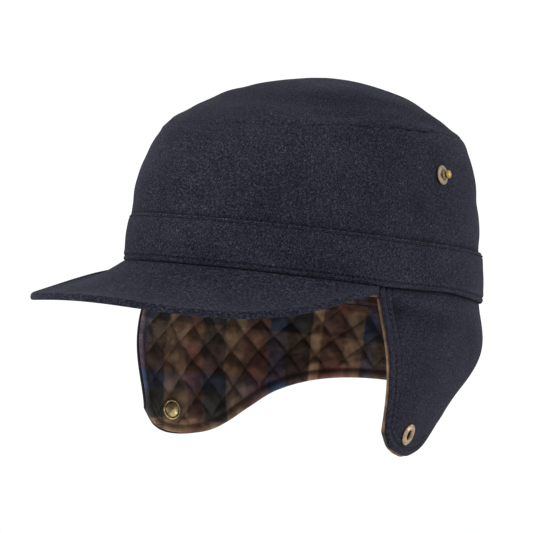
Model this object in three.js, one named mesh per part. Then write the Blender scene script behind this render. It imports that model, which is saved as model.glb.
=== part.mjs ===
// Cap with earflaps: a wool field cap with a short peak and one wraparound flap, quilted tartan inside.
// Millimetres, +Z up. The rim plane is z = 0, the peak points along -Y and the wearer's left is +X.
// A place round the head is an angle in degrees from the front (-Y) towards the wearer's left (+X).
import * as THREE from 'three';
import { mergeVertices } from 'three/addons/utils/BufferGeometryUtils.js';

// Driving dimensions of the head form: outer faces of the cloth, plan half sizes and heights.
const CLOTH_GAP = 0.3;
const WOOL_THICKNESS = 2.0;
const BAND_THICKNESS = 1.5;
const BAND_HEIGHT = 27;
const BAND_FRONT_DIP = 2.4;
const BAND_BOTTOM = { halfWidth: 87.6, halfLength: 107.8, centreY: 2.2 };
const BAND_TOP = { halfWidth: 85.7, halfLength: 105.8, centreY: 0.2 };

// Crown rings from the top of the band to the shoulder and over the domed top panel.
// The seam between the side wall and the top panel is the row named seam.
const CROWN_RINGS = [
  { step: 0, halfWidth: 85.2, halfLength: 105.4, centreY: 1.6, frontZ: 8, sideZ: 8, backZ: 8 },
  { step: 1, halfWidth: 83.9, halfLength: 104, centreY: 0.2, frontZ: 27, sideZ: 27, backZ: 27 },
  { step: 2, halfWidth: 82.3, halfLength: 101.7, centreY: -1.5, frontZ: 47, sideZ: 47, backZ: 47 },
  { step: 3, halfWidth: 77.9, halfLength: 95.6, centreY: 0, frontZ: 66.5, sideZ: 67, backZ: 67 },
  { step: 4, halfWidth: 71.8, halfLength: 85.2, centreY: -2.2, frontZ: 73.5, sideZ: 83.6, backZ: 86.1 },
  { step: 5, halfWidth: 57.7, halfLength: 61.9, centreY: 0.5, frontZ: 91, sideZ: 95.7, backZ: 94 },
  { step: 6, halfWidth: 31.7, halfLength: 34.3, centreY: 6.9, frontZ: 105, sideZ: 106.5, backZ: 105.8 },
  { step: 7, halfWidth: 0, halfLength: 0, centreY: 7, frontZ: 111.2, sideZ: 111.2, backZ: 111.2 },
];
const SEAM_STEP = 4;
const SEAM_HALF_GAP = 0.008;
const POLE_STEP = 7;

// Soft dents that the photo shows in the cloth: place on the crown, reach and depth.
const CROWN_DENTS = [
  { angle: 54, step: 4.35, angleReach: 9, stepReach: 0.22, depth: 1.3 },
  { angle: 66, step: 4.28, angleReach: 6, stepReach: 0.16, depth: -0.9 },
  { angle: 52, step: 2.5, angleReach: 10, stepReach: 0.9, depth: 1.1 },
  { angle: 93, step: 2.2, angleReach: 7, stepReach: 0.6, depth: 1.2 },
];

// Peak: half angle of its root, reach past the band at the centre and the curve of its edge, which drops
// to the front, droops a little towards the sides and has a shallow sag behind it.
const PEAK_HALF_ANGLE = 69.6;
const PEAK_REACH = 57.5;
const PEAK_END_REACH = 3;
const PEAK_THICKNESS = 3.4;
const PEAK_EDGE_DROP = 22;
const PEAK_END_DROP = 1.5;
const PEAK_SIDE_POWER = 3.45;
const PEAK_SIDE_ROUNDING = 0.5;
const PEAK_DROP_POWER = 4;
const PEAK_SIDE_DROOP = 3.3;
const PEAK_FAN = 0.33;
const PEAK_SAG = 5;
// The peak and the flap are tucked up behind the band.
const TUCK_HEIGHT = 7.6;
const PEAK_TUCK_THICKNESS = 2.2;

// Flap: one sheet from temple to temple round the back, alike on both sides, with a row for each bend
// of its edge.
// rimAngle and edgeAngle are where a line down the flap starts and ends. Half way down it swells outwards
// by bulge, and its end swings inwards to the neck by lean.
const FLAP_LINES = [
  { rimAngle: 70.2, edgeAngle: 77.6, depth: 73, lean: -2.6, bulge: 7 },
  { rimAngle: 75, edgeAngle: 81.8, depth: 81, lean: 0.6, bulge: 6.8 },
  { rimAngle: 82, edgeAngle: 89.2, depth: 84.6, lean: 5.5, bulge: 6.2 },
  { rimAngle: 90, edgeAngle: 97.8, depth: 84.8, lean: 11.6, bulge: 5.6 },
  { rimAngle: 99, edgeAngle: 105.8, depth: 80.4, lean: 12.6, bulge: 5.4 },
  { rimAngle: 111, edgeAngle: 115.6, depth: 70, lean: 13, bulge: 6.2 },
  { rimAngle: 124, edgeAngle: 126, depth: 59.4, lean: 12.5, bulge: 6.4 },
  { rimAngle: 140, edgeAngle: 141, depth: 51, lean: 8, bulge: 5.2 },
  { rimAngle: 158, edgeAngle: 158, depth: 46.8, lean: 3, bulge: 3 },
  { rimAngle: 180, edgeAngle: 180, depth: 46.5, lean: 1, bulge: 2.5 },
];
const FLAP_SWELL_POWER = 1.4;
const FLAP_FRONT = FLAP_LINES[0].rimAngle;
const FLAP_SHELL_THICKNESS = 1.8;
// The right side hangs a little lower round its tip.
const RIGHT_TIP = { angle: 77, reach: 12.5, hang: 5 };

// Quilting: diamonds 18 wide and 20 high, pinched along their edges and flat in the stitched border.
const QUILT_HALF_WIDTH = 9;
const QUILT_HALF_HEIGHT = 10;
const QUILT_ROWS = 9;
const CROWDING = 0.02;
const ARC_PER_DEGREE = 1.66;
const BORDER_WIDTH = 4.5;
const LINING_PINCHED = 1.6;
const LINING_PUFFED = 4.0;
const LINING_BORDER = 1.7;
const SNAP_FLAT_RADIUS = 11;

// Inner band: the flat tartan strip that runs round inside the rim.
const INNER_BAND_THICKNESS = 1.4;
const INNER_BAND_BOTTOM_Z = -5.5;
const INNER_BAND_TOP_Z = 24;

// Press studs: places on the crown and on the flap, and the turned sizes of the brass.
const STUD_PLACE = { angle: 95.8, step: 2.74 };
const FLAP_SNAP_PLACES = [['left', 82, -73.5], ['right', 279.5, -77.3]];
const SNAP_SIDES = 14;
// How far a flat snap stands off the curved cloth at its middle, so that its rim stays clear.
const SNAP_SAG = 0.25;

// Grid columns round the whole head and across the peak.
const RING_COLUMNS = 64;
const PEAK_COLUMNS = 34;

const DEGREE = Math.PI / 180;

// A table's columns at a place between its rows, along a curve that passes through every row.
function alongTable(rows, key, place) {
  let i = 0;
  while (i < rows.length - 2 && place > rows[i + 1][key]) i += 1;
  const [from, to] = [rows[i], rows[i + 1]];
  const span = to[key] - from[key];
  const t = THREE.MathUtils.clamp((place - from[key]) / span, 0, 1);
  const result = {};
  for (const column of Object.keys(from)) {
    const slopeAt = (k) => {
      const a = rows[Math.max(k - 1, 0)];
      const b = rows[Math.min(k + 1, rows.length - 1)];
      return (b[column] - a[column]) / (b[key] - a[key]);
    };
    const rise = to[column] - from[column];
    const m0 = slopeAt(i) * span;
    const m1 = slopeAt(i + 1) * span;
    const t2 = t * t;
    const t3 = t2 * t;
    result[column] = from[column] + rise * (3 * t2 - 2 * t3) + m0 * (t3 - 2 * t2 + t) + m1 * (t3 - t2);
  }
  return result;
}

// A point of an oval ring whose height differs at the front, side and back.
function ringPoint(ring, angle) {
  const c = Math.cos(angle * DEGREE);
  const s = Math.sin(angle * DEGREE);
  const tilt = (ring.frontZ - ring.backZ) / 2;
  const saddle = (ring.frontZ + ring.backZ - 2 * ring.sideZ) / 4;
  const z = ring.sideZ + saddle + tilt * c + saddle * Math.cos(2 * angle * DEGREE);
  return new THREE.Vector3(ring.halfWidth * s, ring.centreY - ring.halfLength * c, z);
}

// The crown's outer face, with its dents pressed in towards the centre line.
function crownPoint(angle, step) {
  const point = ringPoint(alongTable(CROWN_RINGS, 'step', step), angle);
  let press = 0;
  for (const dent of CROWN_DENTS) {
    const across = (angle - dent.angle) / dent.angleReach;
    const along = (step - dent.step) / dent.stepReach;
    press += dent.depth * Math.exp(-across * across - along * along);
  }
  const inward = new THREE.Vector3(-point.x, -point.y, 0).normalize();
  return point.addScaledVector(inward, press);
}

// The band's outer face at a height, carried straight on below the rim.
function bandPoint(angle, z, inset = 0) {
  const t = z / BAND_HEIGHT;
  const halfWidth = THREE.MathUtils.lerp(BAND_BOTTOM.halfWidth, BAND_TOP.halfWidth, t) - inset;
  const halfLength = THREE.MathUtils.lerp(BAND_BOTTOM.halfLength, BAND_TOP.halfLength, t) - inset;
  const centreY = THREE.MathUtils.lerp(BAND_BOTTOM.centreY, BAND_TOP.centreY, t);
  const x = halfWidth * Math.sin(angle * DEGREE);
  return new THREE.Vector3(x, centreY - halfLength * Math.cos(angle * DEGREE), z);
}

// A point moved along the face's outward normal, found from its neighbours on the face.
function offsetPoint(face, u, v, distance) {
  const stepU = 0.5;
  const stepV = 0.02;
  const acrossU = face(u + stepU, v).sub(face(u - stepU, v));
  const acrossV = face(u, v + stepV).sub(face(u, v - stepV));
  const normal = new THREE.Vector3().crossVectors(acrossU, acrossV).normalize();
  return face(u, v).addScaledVector(normal, distance);
}

// A closed sheet between two grids of points, outer[column][row] and inner[column][row].
// A ring joins its last column to its first, an open sheet gets two side edges.
function sheetGeometry(outer, inner, isRing) {
  const columns = outer.length;
  const rows = outer[0].length;
  const positions = [];
  const indices = [];
  for (const grid of [outer, inner]) {
    for (const column of grid) {
      for (const point of column) positions.push(point.x, point.y, point.z);
    }
  }
  const at = (layer, column, row) => (layer * columns + (column % columns)) * rows + row;
  const quad = (a, b, c, d) => indices.push(a, b, c, a, c, d);
  const quadTurned = (a, b, c, d) => indices.push(b, c, d, b, d, a);
  const spans = isRing ? columns : columns - 1;
  for (let i = 0; i < spans; i += 1) {
    for (let j = 0; j < rows - 1; j += 1) {
      const [outerQuad, innerQuad] = (i + j) % 2 === 0 ? [quadTurned, quad] : [quad, quadTurned];
      outerQuad(at(0, i, j), at(0, i + 1, j), at(0, i + 1, j + 1), at(0, i, j + 1));
      innerQuad(at(1, i, j + 1), at(1, i + 1, j + 1), at(1, i + 1, j), at(1, i, j));
    }
    quad(at(1, i, 0), at(1, i + 1, 0), at(0, i + 1, 0), at(0, i, 0));
    quad(at(0, i, rows - 1), at(0, i + 1, rows - 1), at(1, i + 1, rows - 1), at(1, i, rows - 1));
  }
  if (!isRing) {
    const last = columns - 1;
    for (let j = 0; j < rows - 1; j += 1) {
      quad(at(0, 0, j), at(0, 0, j + 1), at(1, 0, j + 1), at(1, 0, j));
      quad(at(1, last, j), at(1, last, j + 1), at(0, last, j + 1), at(0, last, j));
    }
  }
  const geometry = new THREE.BufferGeometry();
  geometry.setAttribute('position', new THREE.Float32BufferAttribute(positions, 3));
  geometry.setIndex(indices);
  return geometry;
}

// One closed body with its faces out: corners are shared and flat triangles at a pole are dropped.
function closedBody(geometry) {
  geometry.deleteAttribute('normal');
  geometry.deleteAttribute('uv');
  const merged = mergeVertices(geometry, 1e-4);
  const position = merged.getAttribute('position');
  const corners = Array.from(merged.getIndex().array);
  const kept = [];
  let volume = 0;
  for (let i = 0; i < corners.length; i += 3) {
    const [a, b, c] = corners.slice(i, i + 3);
    if (a === b || b === c || c === a) continue;
    kept.push(a, b, c);
    const [pa, pb, pc] = [a, b, c].map((k) => new THREE.Vector3().fromBufferAttribute(position, k));
    volume += pa.dot(pb.cross(pc));
  }
  merged.setIndex(volume > 0 ? kept : kept.reverse());
  merged.computeVertexNormals();
  return merged;
}

const wool = new THREE.MeshStandardMaterial({ color: 0x252a38, roughness: 0.95, metalness: 0 });
const tartan = new THREE.MeshStandardMaterial({ color: 0x5a4030, roughness: 0.9, metalness: 0 });
const brass = new THREE.MeshStandardMaterial({ color: 0x9c7a3c, roughness: 0.4, metalness: 1 });

const group = new THREE.Group();

function addPiece(name, geometry, material, parent = group) {
  const mesh = new THREE.Mesh(closedBody(geometry), material);
  mesh.name = name;
  parent.add(mesh);
}

const ringAngles = Array.from({ length: RING_COLUMNS }, (_, i) => (360 * i) / RING_COLUMNS);

// Crown: the side wall stands behind the band and ends at the seam, the top panel closes over it.
function addCrown() {
  const outerFace = crownPoint;
  const innerFace = (angle, step) => offsetPoint(crownPoint, angle, step, -WOOL_THICKNESS);
  const gridOf = (face, steps) => ringAngles.map((angle) => steps.map((step) => face(angle, step)));

  const wallSteps = [0, 1, 1.7, 2.4, 3, 3.35, 3.7, SEAM_STEP - SEAM_HALF_GAP];
  const wallOuter = gridOf(outerFace, wallSteps);
  const wallInner = gridOf(innerFace, wallSteps);
  addPiece('crown_side', sheetGeometry(wallOuter, wallInner, true), wool);

  const topSteps = [SEAM_STEP + SEAM_HALF_GAP, 4.3, 4.65, 5, 5.5, 6, 6.5];
  const topPole = crownPoint(0, POLE_STEP);
  const closeAt = (grid, pole) => grid.map((column) => [...column, pole]);
  const innerPole = topPole.clone().add(new THREE.Vector3(0, 0, -WOOL_THICKNESS));
  const topOuter = closeAt(gridOf(outerFace, topSteps), topPole);
  const topInner = closeAt(gridOf(innerFace, topSteps), innerPole);
  addPiece('crown_top', sheetGeometry(topOuter, topInner, true), wool);
}

// The band is highest at the back and dips evenly to the front.
function bandTopZ(angle) {
  return BAND_HEIGHT - (BAND_FRONT_DIP * (1 + Math.cos(angle * DEGREE))) / 2;
}

// A flat strip of cloth round the head from a height up to a height for each angle, between two insets
// from the band's face.
function stripGeometry(bottomZ, topZAt, outerInset, innerInset) {
  const columnOf = (angle, inset) => [bottomZ, topZAt(angle)].map((z) => bandPoint(angle, z, inset));
  const gridOf = (inset) => ringAngles.map((angle) => columnOf(angle, inset));
  return sheetGeometry(gridOf(outerInset), gridOf(innerInset), true);
}

// Insets from the band's outer face of what is layered inside it.
const TUCK_INSET = BAND_THICKNESS + CLOTH_GAP;
const INNER_BAND_INSET = TUCK_INSET + PEAK_TUCK_THICKNESS + CLOTH_GAP;

function addBands() {
  addPiece('band', stripGeometry(0, bandTopZ, 0, BAND_THICKNESS), wool);
  const innerFace = INNER_BAND_INSET + INNER_BAND_THICKNESS;
  const innerTop = () => INNER_BAND_TOP_Z;
  const innerBand = stripGeometry(INNER_BAND_BOTTOM_Z, innerTop, INNER_BAND_INSET, innerFace);
  addPiece('inner_band', innerBand, tartan);
}

// The peak's upper face: reach runs from 0 at the band to 1 at the peak's edge.
function peakPoint(angle, reach) {
  const side = Math.abs(angle) / PEAK_HALF_ANGLE;
  const root = bandPoint(angle, 0);
  root.z = -CLOTH_GAP;
  const outline = (1 - side ** PEAK_SIDE_POWER) ** PEAK_SIDE_ROUNDING;
  const distance = PEAK_END_REACH + (PEAK_REACH - PEAK_END_REACH) * outline;
  const heading = PEAK_FAN * angle * DEGREE;
  const edge = root.clone();
  edge.x += distance * Math.sin(heading);
  edge.y -= distance * Math.cos(heading);
  const droop = PEAK_SIDE_DROOP * 4 * side * side * (1 - side * side);
  edge.z = -PEAK_EDGE_DROP + (PEAK_EDGE_DROP - PEAK_END_DROP) * side ** PEAK_DROP_POWER - droop;
  const point = root.lerp(edge, reach);
  point.z -= PEAK_SAG * 4 * reach * (1 - reach) * (1 - side * side);
  return point;
}

// Peak: it is sewn in behind the band by a tuck that stands against the band's inner face.
function addPeak() {
  const reaches = [1, 0.8, 0.6, 0.4, 0.2, 0];
  const upper = [];
  const lower = [];
  for (let i = 0; i <= PEAK_COLUMNS; i += 1) {
    const angle = PEAK_HALF_ANGLE * ((2 * i) / PEAK_COLUMNS - 1);
    const face = reaches.map((reach) => peakPoint(angle, reach));
    const corner = bandPoint(angle, 0, TUCK_INSET).setZ(-CLOTH_GAP);
    upper.push([...face, corner, bandPoint(angle, TUCK_HEIGHT, TUCK_INSET)]);
    const under = face.map((point) => point.clone().setZ(point.z - PEAK_THICKNESS));
    const tuckBack = TUCK_INSET + PEAK_TUCK_THICKNESS;
    const innerCorner = bandPoint(angle, 0, tuckBack).setZ(-CLOTH_GAP - PEAK_THICKNESS);
    lower.push([...under, innerCorner, bandPoint(angle, TUCK_HEIGHT, tuckBack)]);
  }
  addPiece('peak', sheetGeometry(upper, lower, false), wool);
}

// The same place on both sides of the head, as a side's name and its angle.
function bothSides(angle) {
  return [['left', angle], ['right', 360 - angle]];
}

// The row of the flap at an angle round the whole head, mirrored past the back.
function flapLine(rimAngle) {
  const turned = rimAngle > 180 ? 360 - rimAngle : rimAngle;
  const line = alongTable(FLAP_LINES, 'rimAngle', turned);
  const fromTip = (turned - RIGHT_TIP.angle) / RIGHT_TIP.reach;
  const hang = rimAngle > 180 ? RIGHT_TIP.hang * Math.exp(-fromTip * fromTip) : 0;
  const swing = (line.edgeAngle - line.rimAngle) * (rimAngle > 180 ? -1 : 1);
  return { ...line, swing, depth: line.depth + hang };
}

// The flap's outer face, hanging from behind the band: z is 0 at the rim and falls along each line.
function flapPoint(rimAngle, z) {
  const line = flapLine(rimAngle);
  const share = Math.max(-z, 0) / line.depth;
  const angle = rimAngle + line.swing * share;
  const swell = Math.max(Math.sin(Math.PI * share), 0) ** FLAP_SWELL_POWER;
  const outwards = line.bulge * swell - line.lean * share * share;
  return bandPoint(angle, Math.max(z, 0), TUCK_INSET - outwards).setZ(z);
}

// Heights of one line's quilt rows, from the edge up to the rim: even rows, and crowded ones above the
// border.
function quiltHeights(rimAngle) {
  const { depth } = flapLine(rimAngle);
  const stitched = depth - BORDER_WIDTH;
  const heights = [-depth];
  for (let row = QUILT_ROWS; row >= 0; row -= 1) {
    const crowded = stitched * (1 - CROWDING * (QUILT_ROWS - row));
    heights.push(-Math.min(row * QUILT_HALF_HEIGHT, crowded));
  }
  return heights;
}

// Angles of the lines down the flap: the two edges, the two stitched border lines and the quilt between.
function quiltAngles() {
  const first = FLAP_FRONT;
  const last = 360 - FLAP_FRONT;
  const spans = Math.round(((last - first) * ARC_PER_DEGREE - 2 * BORDER_WIDTH) / QUILT_HALF_WIDTH);
  const border = BORDER_WIDTH / ARC_PER_DEGREE;
  const angles = [first];
  for (let i = 0; i <= spans; i += 1) {
    angles.push(first + border + ((last - first - 2 * border) * i) / spans);
  }
  angles.push(last);
  return angles;
}

// Thickness of the quilted lining at a crossing of its grid: puffed, or pinched in the border and at a
// snap.
function liningThickness(angles, heights, i, j) {
  if (i === 0 || j === 0 || i === angles.length - 1) return LINING_BORDER;
  const inBorder = i === 1 || i === angles.length - 2 || j === 1 || j === heights.length - 1;
  const crowded = heights[j] - heights[j - 1] < QUILT_HALF_HEIGHT / 2;
  const place = flapPoint(angles[i], heights[j]);
  const snaps = FLAP_SNAP_PLACES.map(([, angle, z]) => flapPoint(angle, z));
  const atSnap = snaps.some((snap) => snap.distanceTo(place) < SNAP_FLAT_RADIUS);
  const pinched = (i + j) % 2 === 1 || inBorder || crowded || atSnap;
  return pinched ? LINING_PINCHED : LINING_PUFFED;
}

// Flap: a wool shell tucked behind the band, and the quilted lining that backs it from the rim down.
function addFlap() {
  const angles = quiltAngles();
  const shell = { outer: [], inner: [] };
  const lining = { outer: [], inner: [] };
  angles.forEach((angle, i) => {
    const heights = quiltHeights(angle);
    const shellHeights = [...heights, TUCK_HEIGHT];
    shell.outer.push(shellHeights.map((z) => flapPoint(angle, z)));
    shell.inner.push(shellHeights.map((z) => offsetPoint(flapPoint, angle, z, -FLAP_SHELL_THICKNESS)));
    const back = FLAP_SHELL_THICKNESS + CLOTH_GAP;
    const liningHeights = heights.map((z) => Math.min(z, INNER_BAND_BOTTOM_Z - CLOTH_GAP));
    lining.outer.push(liningHeights.map((z) => offsetPoint(flapPoint, angle, z, -back)));
    lining.inner.push(liningHeights.map((z, j) => {
      const thickness = liningThickness(angles, heights, i, j);
      return offsetPoint(flapPoint, angle, z, -back - thickness);
    }));
  });
  addPiece('flap_shell', sheetGeometry(shell.outer, shell.inner, false), wool);
  addPiece('flap_lining', sheetGeometry(lining.outer, lining.inner, false), tartan);
}

// Turned sections of the press studs, as radius and height above the cloth.
const SOCKET_SECTION = [
  [1.9, 0], [5.7, 0], [5.7, 0.8], [5.2, 1.4], [3.9, 1.7], [2.5, 1.5], [1.9, 0.9], [1.9, 0],
];
const CAP_SECTION = [[0, 0], [5.6, 0], [5.6, 0.6], [5.2, 1], [4.7, 1], [4.4, 0.8], [2.8, 1.3], [0, 1.6]];
const STUD_SECTION = [
  [0, 0], [5.2, 0], [5.2, 0.5], [4.4, 1], [2.5, 1], [1.6, 1.4],
  [1.4, 2.5], [2, 3.2], [2, 4], [1.2, 4.7], [0, 4.9],
];

// A turned brass piece that sits on a face, with its axis along the face's normal.
function addTurned(name, section, face, u, v, distance) {
  const profile = section.map(([radius, height]) => new THREE.Vector2(radius, height));
  const seat = offsetPoint(face, u, v, distance);
  const outward = seat.clone().sub(face(u, v)).normalize();
  const holder = new THREE.Group();
  holder.position.copy(seat);
  holder.quaternion.setFromUnitVectors(new THREE.Vector3(0, 1, 0), outward);
  group.add(holder);
  addPiece(name, new THREE.LatheGeometry(profile, SNAP_SIDES), brass, holder);
}

function addSnaps() {
  const onOuter = CLOTH_GAP + SNAP_SAG;
  const onLining = -(FLAP_SHELL_THICKNESS + CLOTH_GAP + LINING_PINCHED + CLOTH_GAP + SNAP_SAG);
  for (const [side, angle] of bothSides(STUD_PLACE.angle)) {
    addTurned(`crown_stud_${side}`, STUD_SECTION, crownPoint, angle, STUD_PLACE.step, onOuter);
  }
  for (const [side, angle, z] of FLAP_SNAP_PLACES) {
    addTurned(`flap_socket_${side}`, SOCKET_SECTION, flapPoint, angle, z, onOuter);
    addTurned(`flap_cap_${side}`, CAP_SECTION, flapPoint, angle, z, onLining);
  }
}

addCrown();
addBands();
addPeak();
addFlap();
addSnaps();

export default group;
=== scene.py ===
"""Cap with earflaps: wool, quilted tartan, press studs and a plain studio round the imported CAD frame.

Sizes are in millimetres here, and become metres when a mesh is written.
A place round the head is an angle in degrees from the front (-Y) towards the wearer's left (+X).
Heights are measured from the rim plane of the cap, z = 0.
"""
import math

import bmesh
import bpy
import numpy as np
from mathutils import Matrix, Vector


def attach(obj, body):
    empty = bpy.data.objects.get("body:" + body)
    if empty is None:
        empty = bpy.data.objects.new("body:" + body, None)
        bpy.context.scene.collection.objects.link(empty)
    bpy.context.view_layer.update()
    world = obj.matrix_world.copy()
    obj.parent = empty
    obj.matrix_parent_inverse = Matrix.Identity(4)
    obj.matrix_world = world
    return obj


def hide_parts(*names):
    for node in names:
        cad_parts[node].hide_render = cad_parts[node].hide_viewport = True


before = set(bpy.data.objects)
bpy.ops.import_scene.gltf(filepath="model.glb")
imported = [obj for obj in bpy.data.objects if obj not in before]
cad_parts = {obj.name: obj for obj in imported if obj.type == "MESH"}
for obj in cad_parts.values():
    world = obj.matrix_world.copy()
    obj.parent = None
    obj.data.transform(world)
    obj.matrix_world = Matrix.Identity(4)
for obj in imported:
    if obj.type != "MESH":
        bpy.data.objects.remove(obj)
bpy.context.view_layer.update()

bl_info = {
    "name": "Cap with earflaps",
    "version": (1, 0, 0),
    "blender": (4, 5, 0),
    "location": "View3D > Sidebar > Cap",
    "description": "Dresses the packed cap in wool, quilted tartan and brass",
    "category": "Object",
}

METRES = 0.001

# Head form, the same values as the part's source.
CLOTH_GAP = 0.3
WOOL_THICKNESS = 2.0
BAND_THICKNESS = 1.5
BAND_HEIGHT = 27.0
BAND_FRONT_DIP = 2.4
BAND_BOTTOM = (87.6, 107.8, 2.2)
BAND_TOP = (85.7, 105.8, 0.2)

# Crown rings: step, half width, half length, centre y, height at the front, side and back.
CROWN_RINGS = np.array([
    (0, 85.2, 105.4, 1.6, 8, 8, 8),
    (1, 83.9, 104, 0.2, 27, 27, 27),
    (2, 82.3, 101.7, -1.5, 47, 47, 47),
    (3, 77.9, 95.6, 0, 66.5, 67, 67),
    (4, 71.8, 85.2, -2.2, 73.5, 83.6, 86.1),
    (5, 57.7, 61.9, 0.5, 91, 95.7, 94),
    (6, 31.7, 34.3, 6.9, 105, 106.5, 105.8),
    (7, 0, 0, 7, 111.2, 111.2, 111.2),
], float)
CROWN_HEIGHTS_FROM = 3
SEAM_STEP = 4.0
SEAM_HALF_GAP = 0.008
SEAM_ALLOWANCE = (-0.22, -0.12, -0.05, -0.03, -0.015, 0.0)
SEAM_WIDTH, SEAM_RIDGE, SEAM_RIDGE_WIDTH = 0.8, 2.4, 1.4
SHOULDER_WIDTH, SHOULDER_DEPTH = 5.0, 0.3
TEMPLE_ANGLE, TEMPLE_REACH = 82.0, 26.0
POLE_STEP = 7.0
CROWN_SINK = 0.65

# Dents pressed into the crown: angle, step, reach in angle, reach in steps, depth.
CROWN_DENTS = np.array([
    (54, 4.35, 9, 0.22, 1.3),
    (66, 4.28, 6, 0.16, -0.9),
    (52, 2.5, 10, 0.9, 1.1),
    (93, 2.2, 7, 0.6, 1.2),
])

# Fullness of the cloth round the shoulder and over the top, the same on both sides: angle, step, reach
# in angle, reach in steps, height.
CROWN_FULLNESS = np.array([
    (40, 4.94, 60, 0.28, -1.25),
    (40, 4.12, 55, 0.24, 0.95),
    (38, 3.36, 50, 0.24, -0.65),
    (38, 1.4, 50, 0.55, 1.0),
    (128, 4.36, 45, 0.24, -0.85),
    (131, 3.75, 45, 0.2, 0.45),
    (112, 5.85, 50, 0.3, -0.25),
    (118, 5.1, 45, 0.3, 0.45),
])

# Long soft waves of the cloth: turns round the head, turns up the crown, phase, height.
CROWN_WAVES = ((3, 0.7, 0.4, 0.28), (5, -0.5, 2.1, 0.22), (8, 0.9, 4.0, 0.13), (13, 1.6, 1.2, 0.07))
SEAM_WANDER = ((17, 0, 0.5, 0.35), (39, 0, 2.1, 0.25))
SEAM_WAVES = ((9, 0, 0.3, 0.55), (23, 0, 1.9, 0.45), (47, 0, 3.1, 0.4), (83, 0, 0.9, 0.3))
BAND_WAVES = ((4, 0.02, 0.8, 0.16), (9, 0.05, 2.7, 0.1), (17, 0.03, 5.1, 0.05))
# How much the band's painted shade swells and fades round the head.
BAND_UNEVEN = ((19, 0, 0.7, 0.3), (43, 0, 0, 0.2))
FLAP_WAVES = ((7, 0.011, 0.7, 0.22), (12, -0.017, 2.2, 0.14), (21, 0.013, 4.4, 0.07))

# Peak.
PEAK_HALF_ANGLE = 69.6
PEAK_REACH = 57.5
PEAK_END_REACH = 3.0
PEAK_THICKNESS = 3.4
PEAK_EDGE_DROP = 22.0
PEAK_END_DROP = 1.5
PEAK_SIDE_POWER = 3.45
PEAK_SIDE_ROUNDING = 0.5
PEAK_DROP_POWER = 4.0
PEAK_SIDE_DROOP = 3.3
PEAK_FAN = 0.33
PEAK_SAG = 5.0
TUCK_HEIGHT = 7.6
PEAK_TUCK_THICKNESS = 2.2
TUCK_INSET = BAND_THICKNESS + CLOTH_GAP

# Flap lines: rim angle, edge angle, depth, lean inwards, bulge.
FLAP_LINES = np.array([
    (70.2, 77.6, 73, -2.6, 7),
    (75, 81.8, 81, 0.6, 6.8),
    (82, 89.2, 84.6, 5.5, 6.2),
    (90, 97.8, 84.8, 11.6, 5.6),
    (99, 105.8, 80.4, 12.6, 5.4),
    (111, 115.6, 70, 13, 6.2),
    (124, 126, 59.4, 12.5, 6.4),
    (140, 141, 51, 8, 5.2),
    (158, 158, 46.8, 3, 3),
    (180, 180, 46.5, 1, 2.5),
], float)
FLAP_SWELL_POWER = 1.4
FLAP_FRONT = FLAP_LINES[0, 0]
FLAP_SHELL_THICKNESS = 1.8
RIGHT_TIP_ANGLE, RIGHT_TIP_REACH, RIGHT_TIP_HANG = 77.0, 12.5, 5.0

# Soft creases of the flap's wool: angle, height, reach in angle, reach in height, depth.
FLAP_CREASES = np.array([
    (76.5, -11, 3.5, 7, 1.1),
    (84, -12, 6, 3.5, 0.7),
    (90, -5.5, 10, 2.8, -0.7),
    (108, -18, 8, 6, 0.9),
    (96, -34, 9, 12, -0.6),
    (264, -20, 8, 9, 0.7),
    (284, -13, 4, 9, 0.8),
    (150, -16, 12, 7, 0.6),
    (212, -18, 14, 7, 0.6),
])

# Painted shade in the flap's hollows and painted highlights on its folds: angle, height, reach in
# angle, reach in height, darkness, which is negative for a highlight.
FLAP_SHADES = np.array([
    (76.2, -9.5, 3.0, 4.5, 0.42),
    (75.4, -16, 2.4, 7, 0.30),
    (82, -11.5, 6, 3.2, 0.32),
    (92, -16, 9, 4.5, 0.30),
    (90, -5.5, 10, 2.4, -0.34),
    (79.5, -20, 2.6, 7, -0.14),
    (111, -20, 5, 7, 0.16),
    (283.8, -10, 3.0, 6, 0.36),
    (270, -5.5, 10, 2.4, -0.3),
    (262, -16, 9, 5, 0.18),
])

# Lining and inner band. Round a snap the quilting is flat up to one distance and fades in over another.
BORDER_WIDTH = 4.2
BORDER_ROLL = 2.1
BORDER_PROUD = 0.8
LINING_PINCHED = 1.5
LINING_BACK = 0.7
SNAP_FLAT, SNAP_FLAT_FADE = 5.8, 5.0
LINING_FACE = -FLAP_SHELL_THICKNESS - CLOTH_GAP
INNER_BAND_INSET = TUCK_INSET + PEAK_TUCK_THICKNESS + CLOTH_GAP
INNER_BAND_THICKNESS = 1.4
INNER_BAND_BOTTOM = -5.5
INNER_BAND_TOP = 24.0
LINING_TOP = INNER_BAND_BOTTOM - CLOTH_GAP

# Radii of the rounded edges, and how far the quilting fades out beside the border and below the top.
BAND_ROUND, INNER_BAND_ROUND, PEAK_ROUND, SHELL_ROUND, LINING_ROUND = 1.1, 0.6, 1.4, 0.9, 1.1
QUILT_FADE, QUILT_TOP_FADE = 3.2, 4.0

# Stitched lines, as distances from their edges, how thick the thread is, and where each stitch starts
# and how long it is, as shares of the way from one stitch to the next.
BAND_LOW_STITCH, BAND_TOP_STITCH, PEAK_STITCH, FLAP_STITCH = 2.9, 1.5, 2.6, 4.1
THREAD_THICKNESS = 0.42
THREAD_START, THREAD_SHARE = 0.09, 0.82

# Width of the flap's turned edge, whose end shows as a ridge.
ALLOWANCE = 7.4
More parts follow.
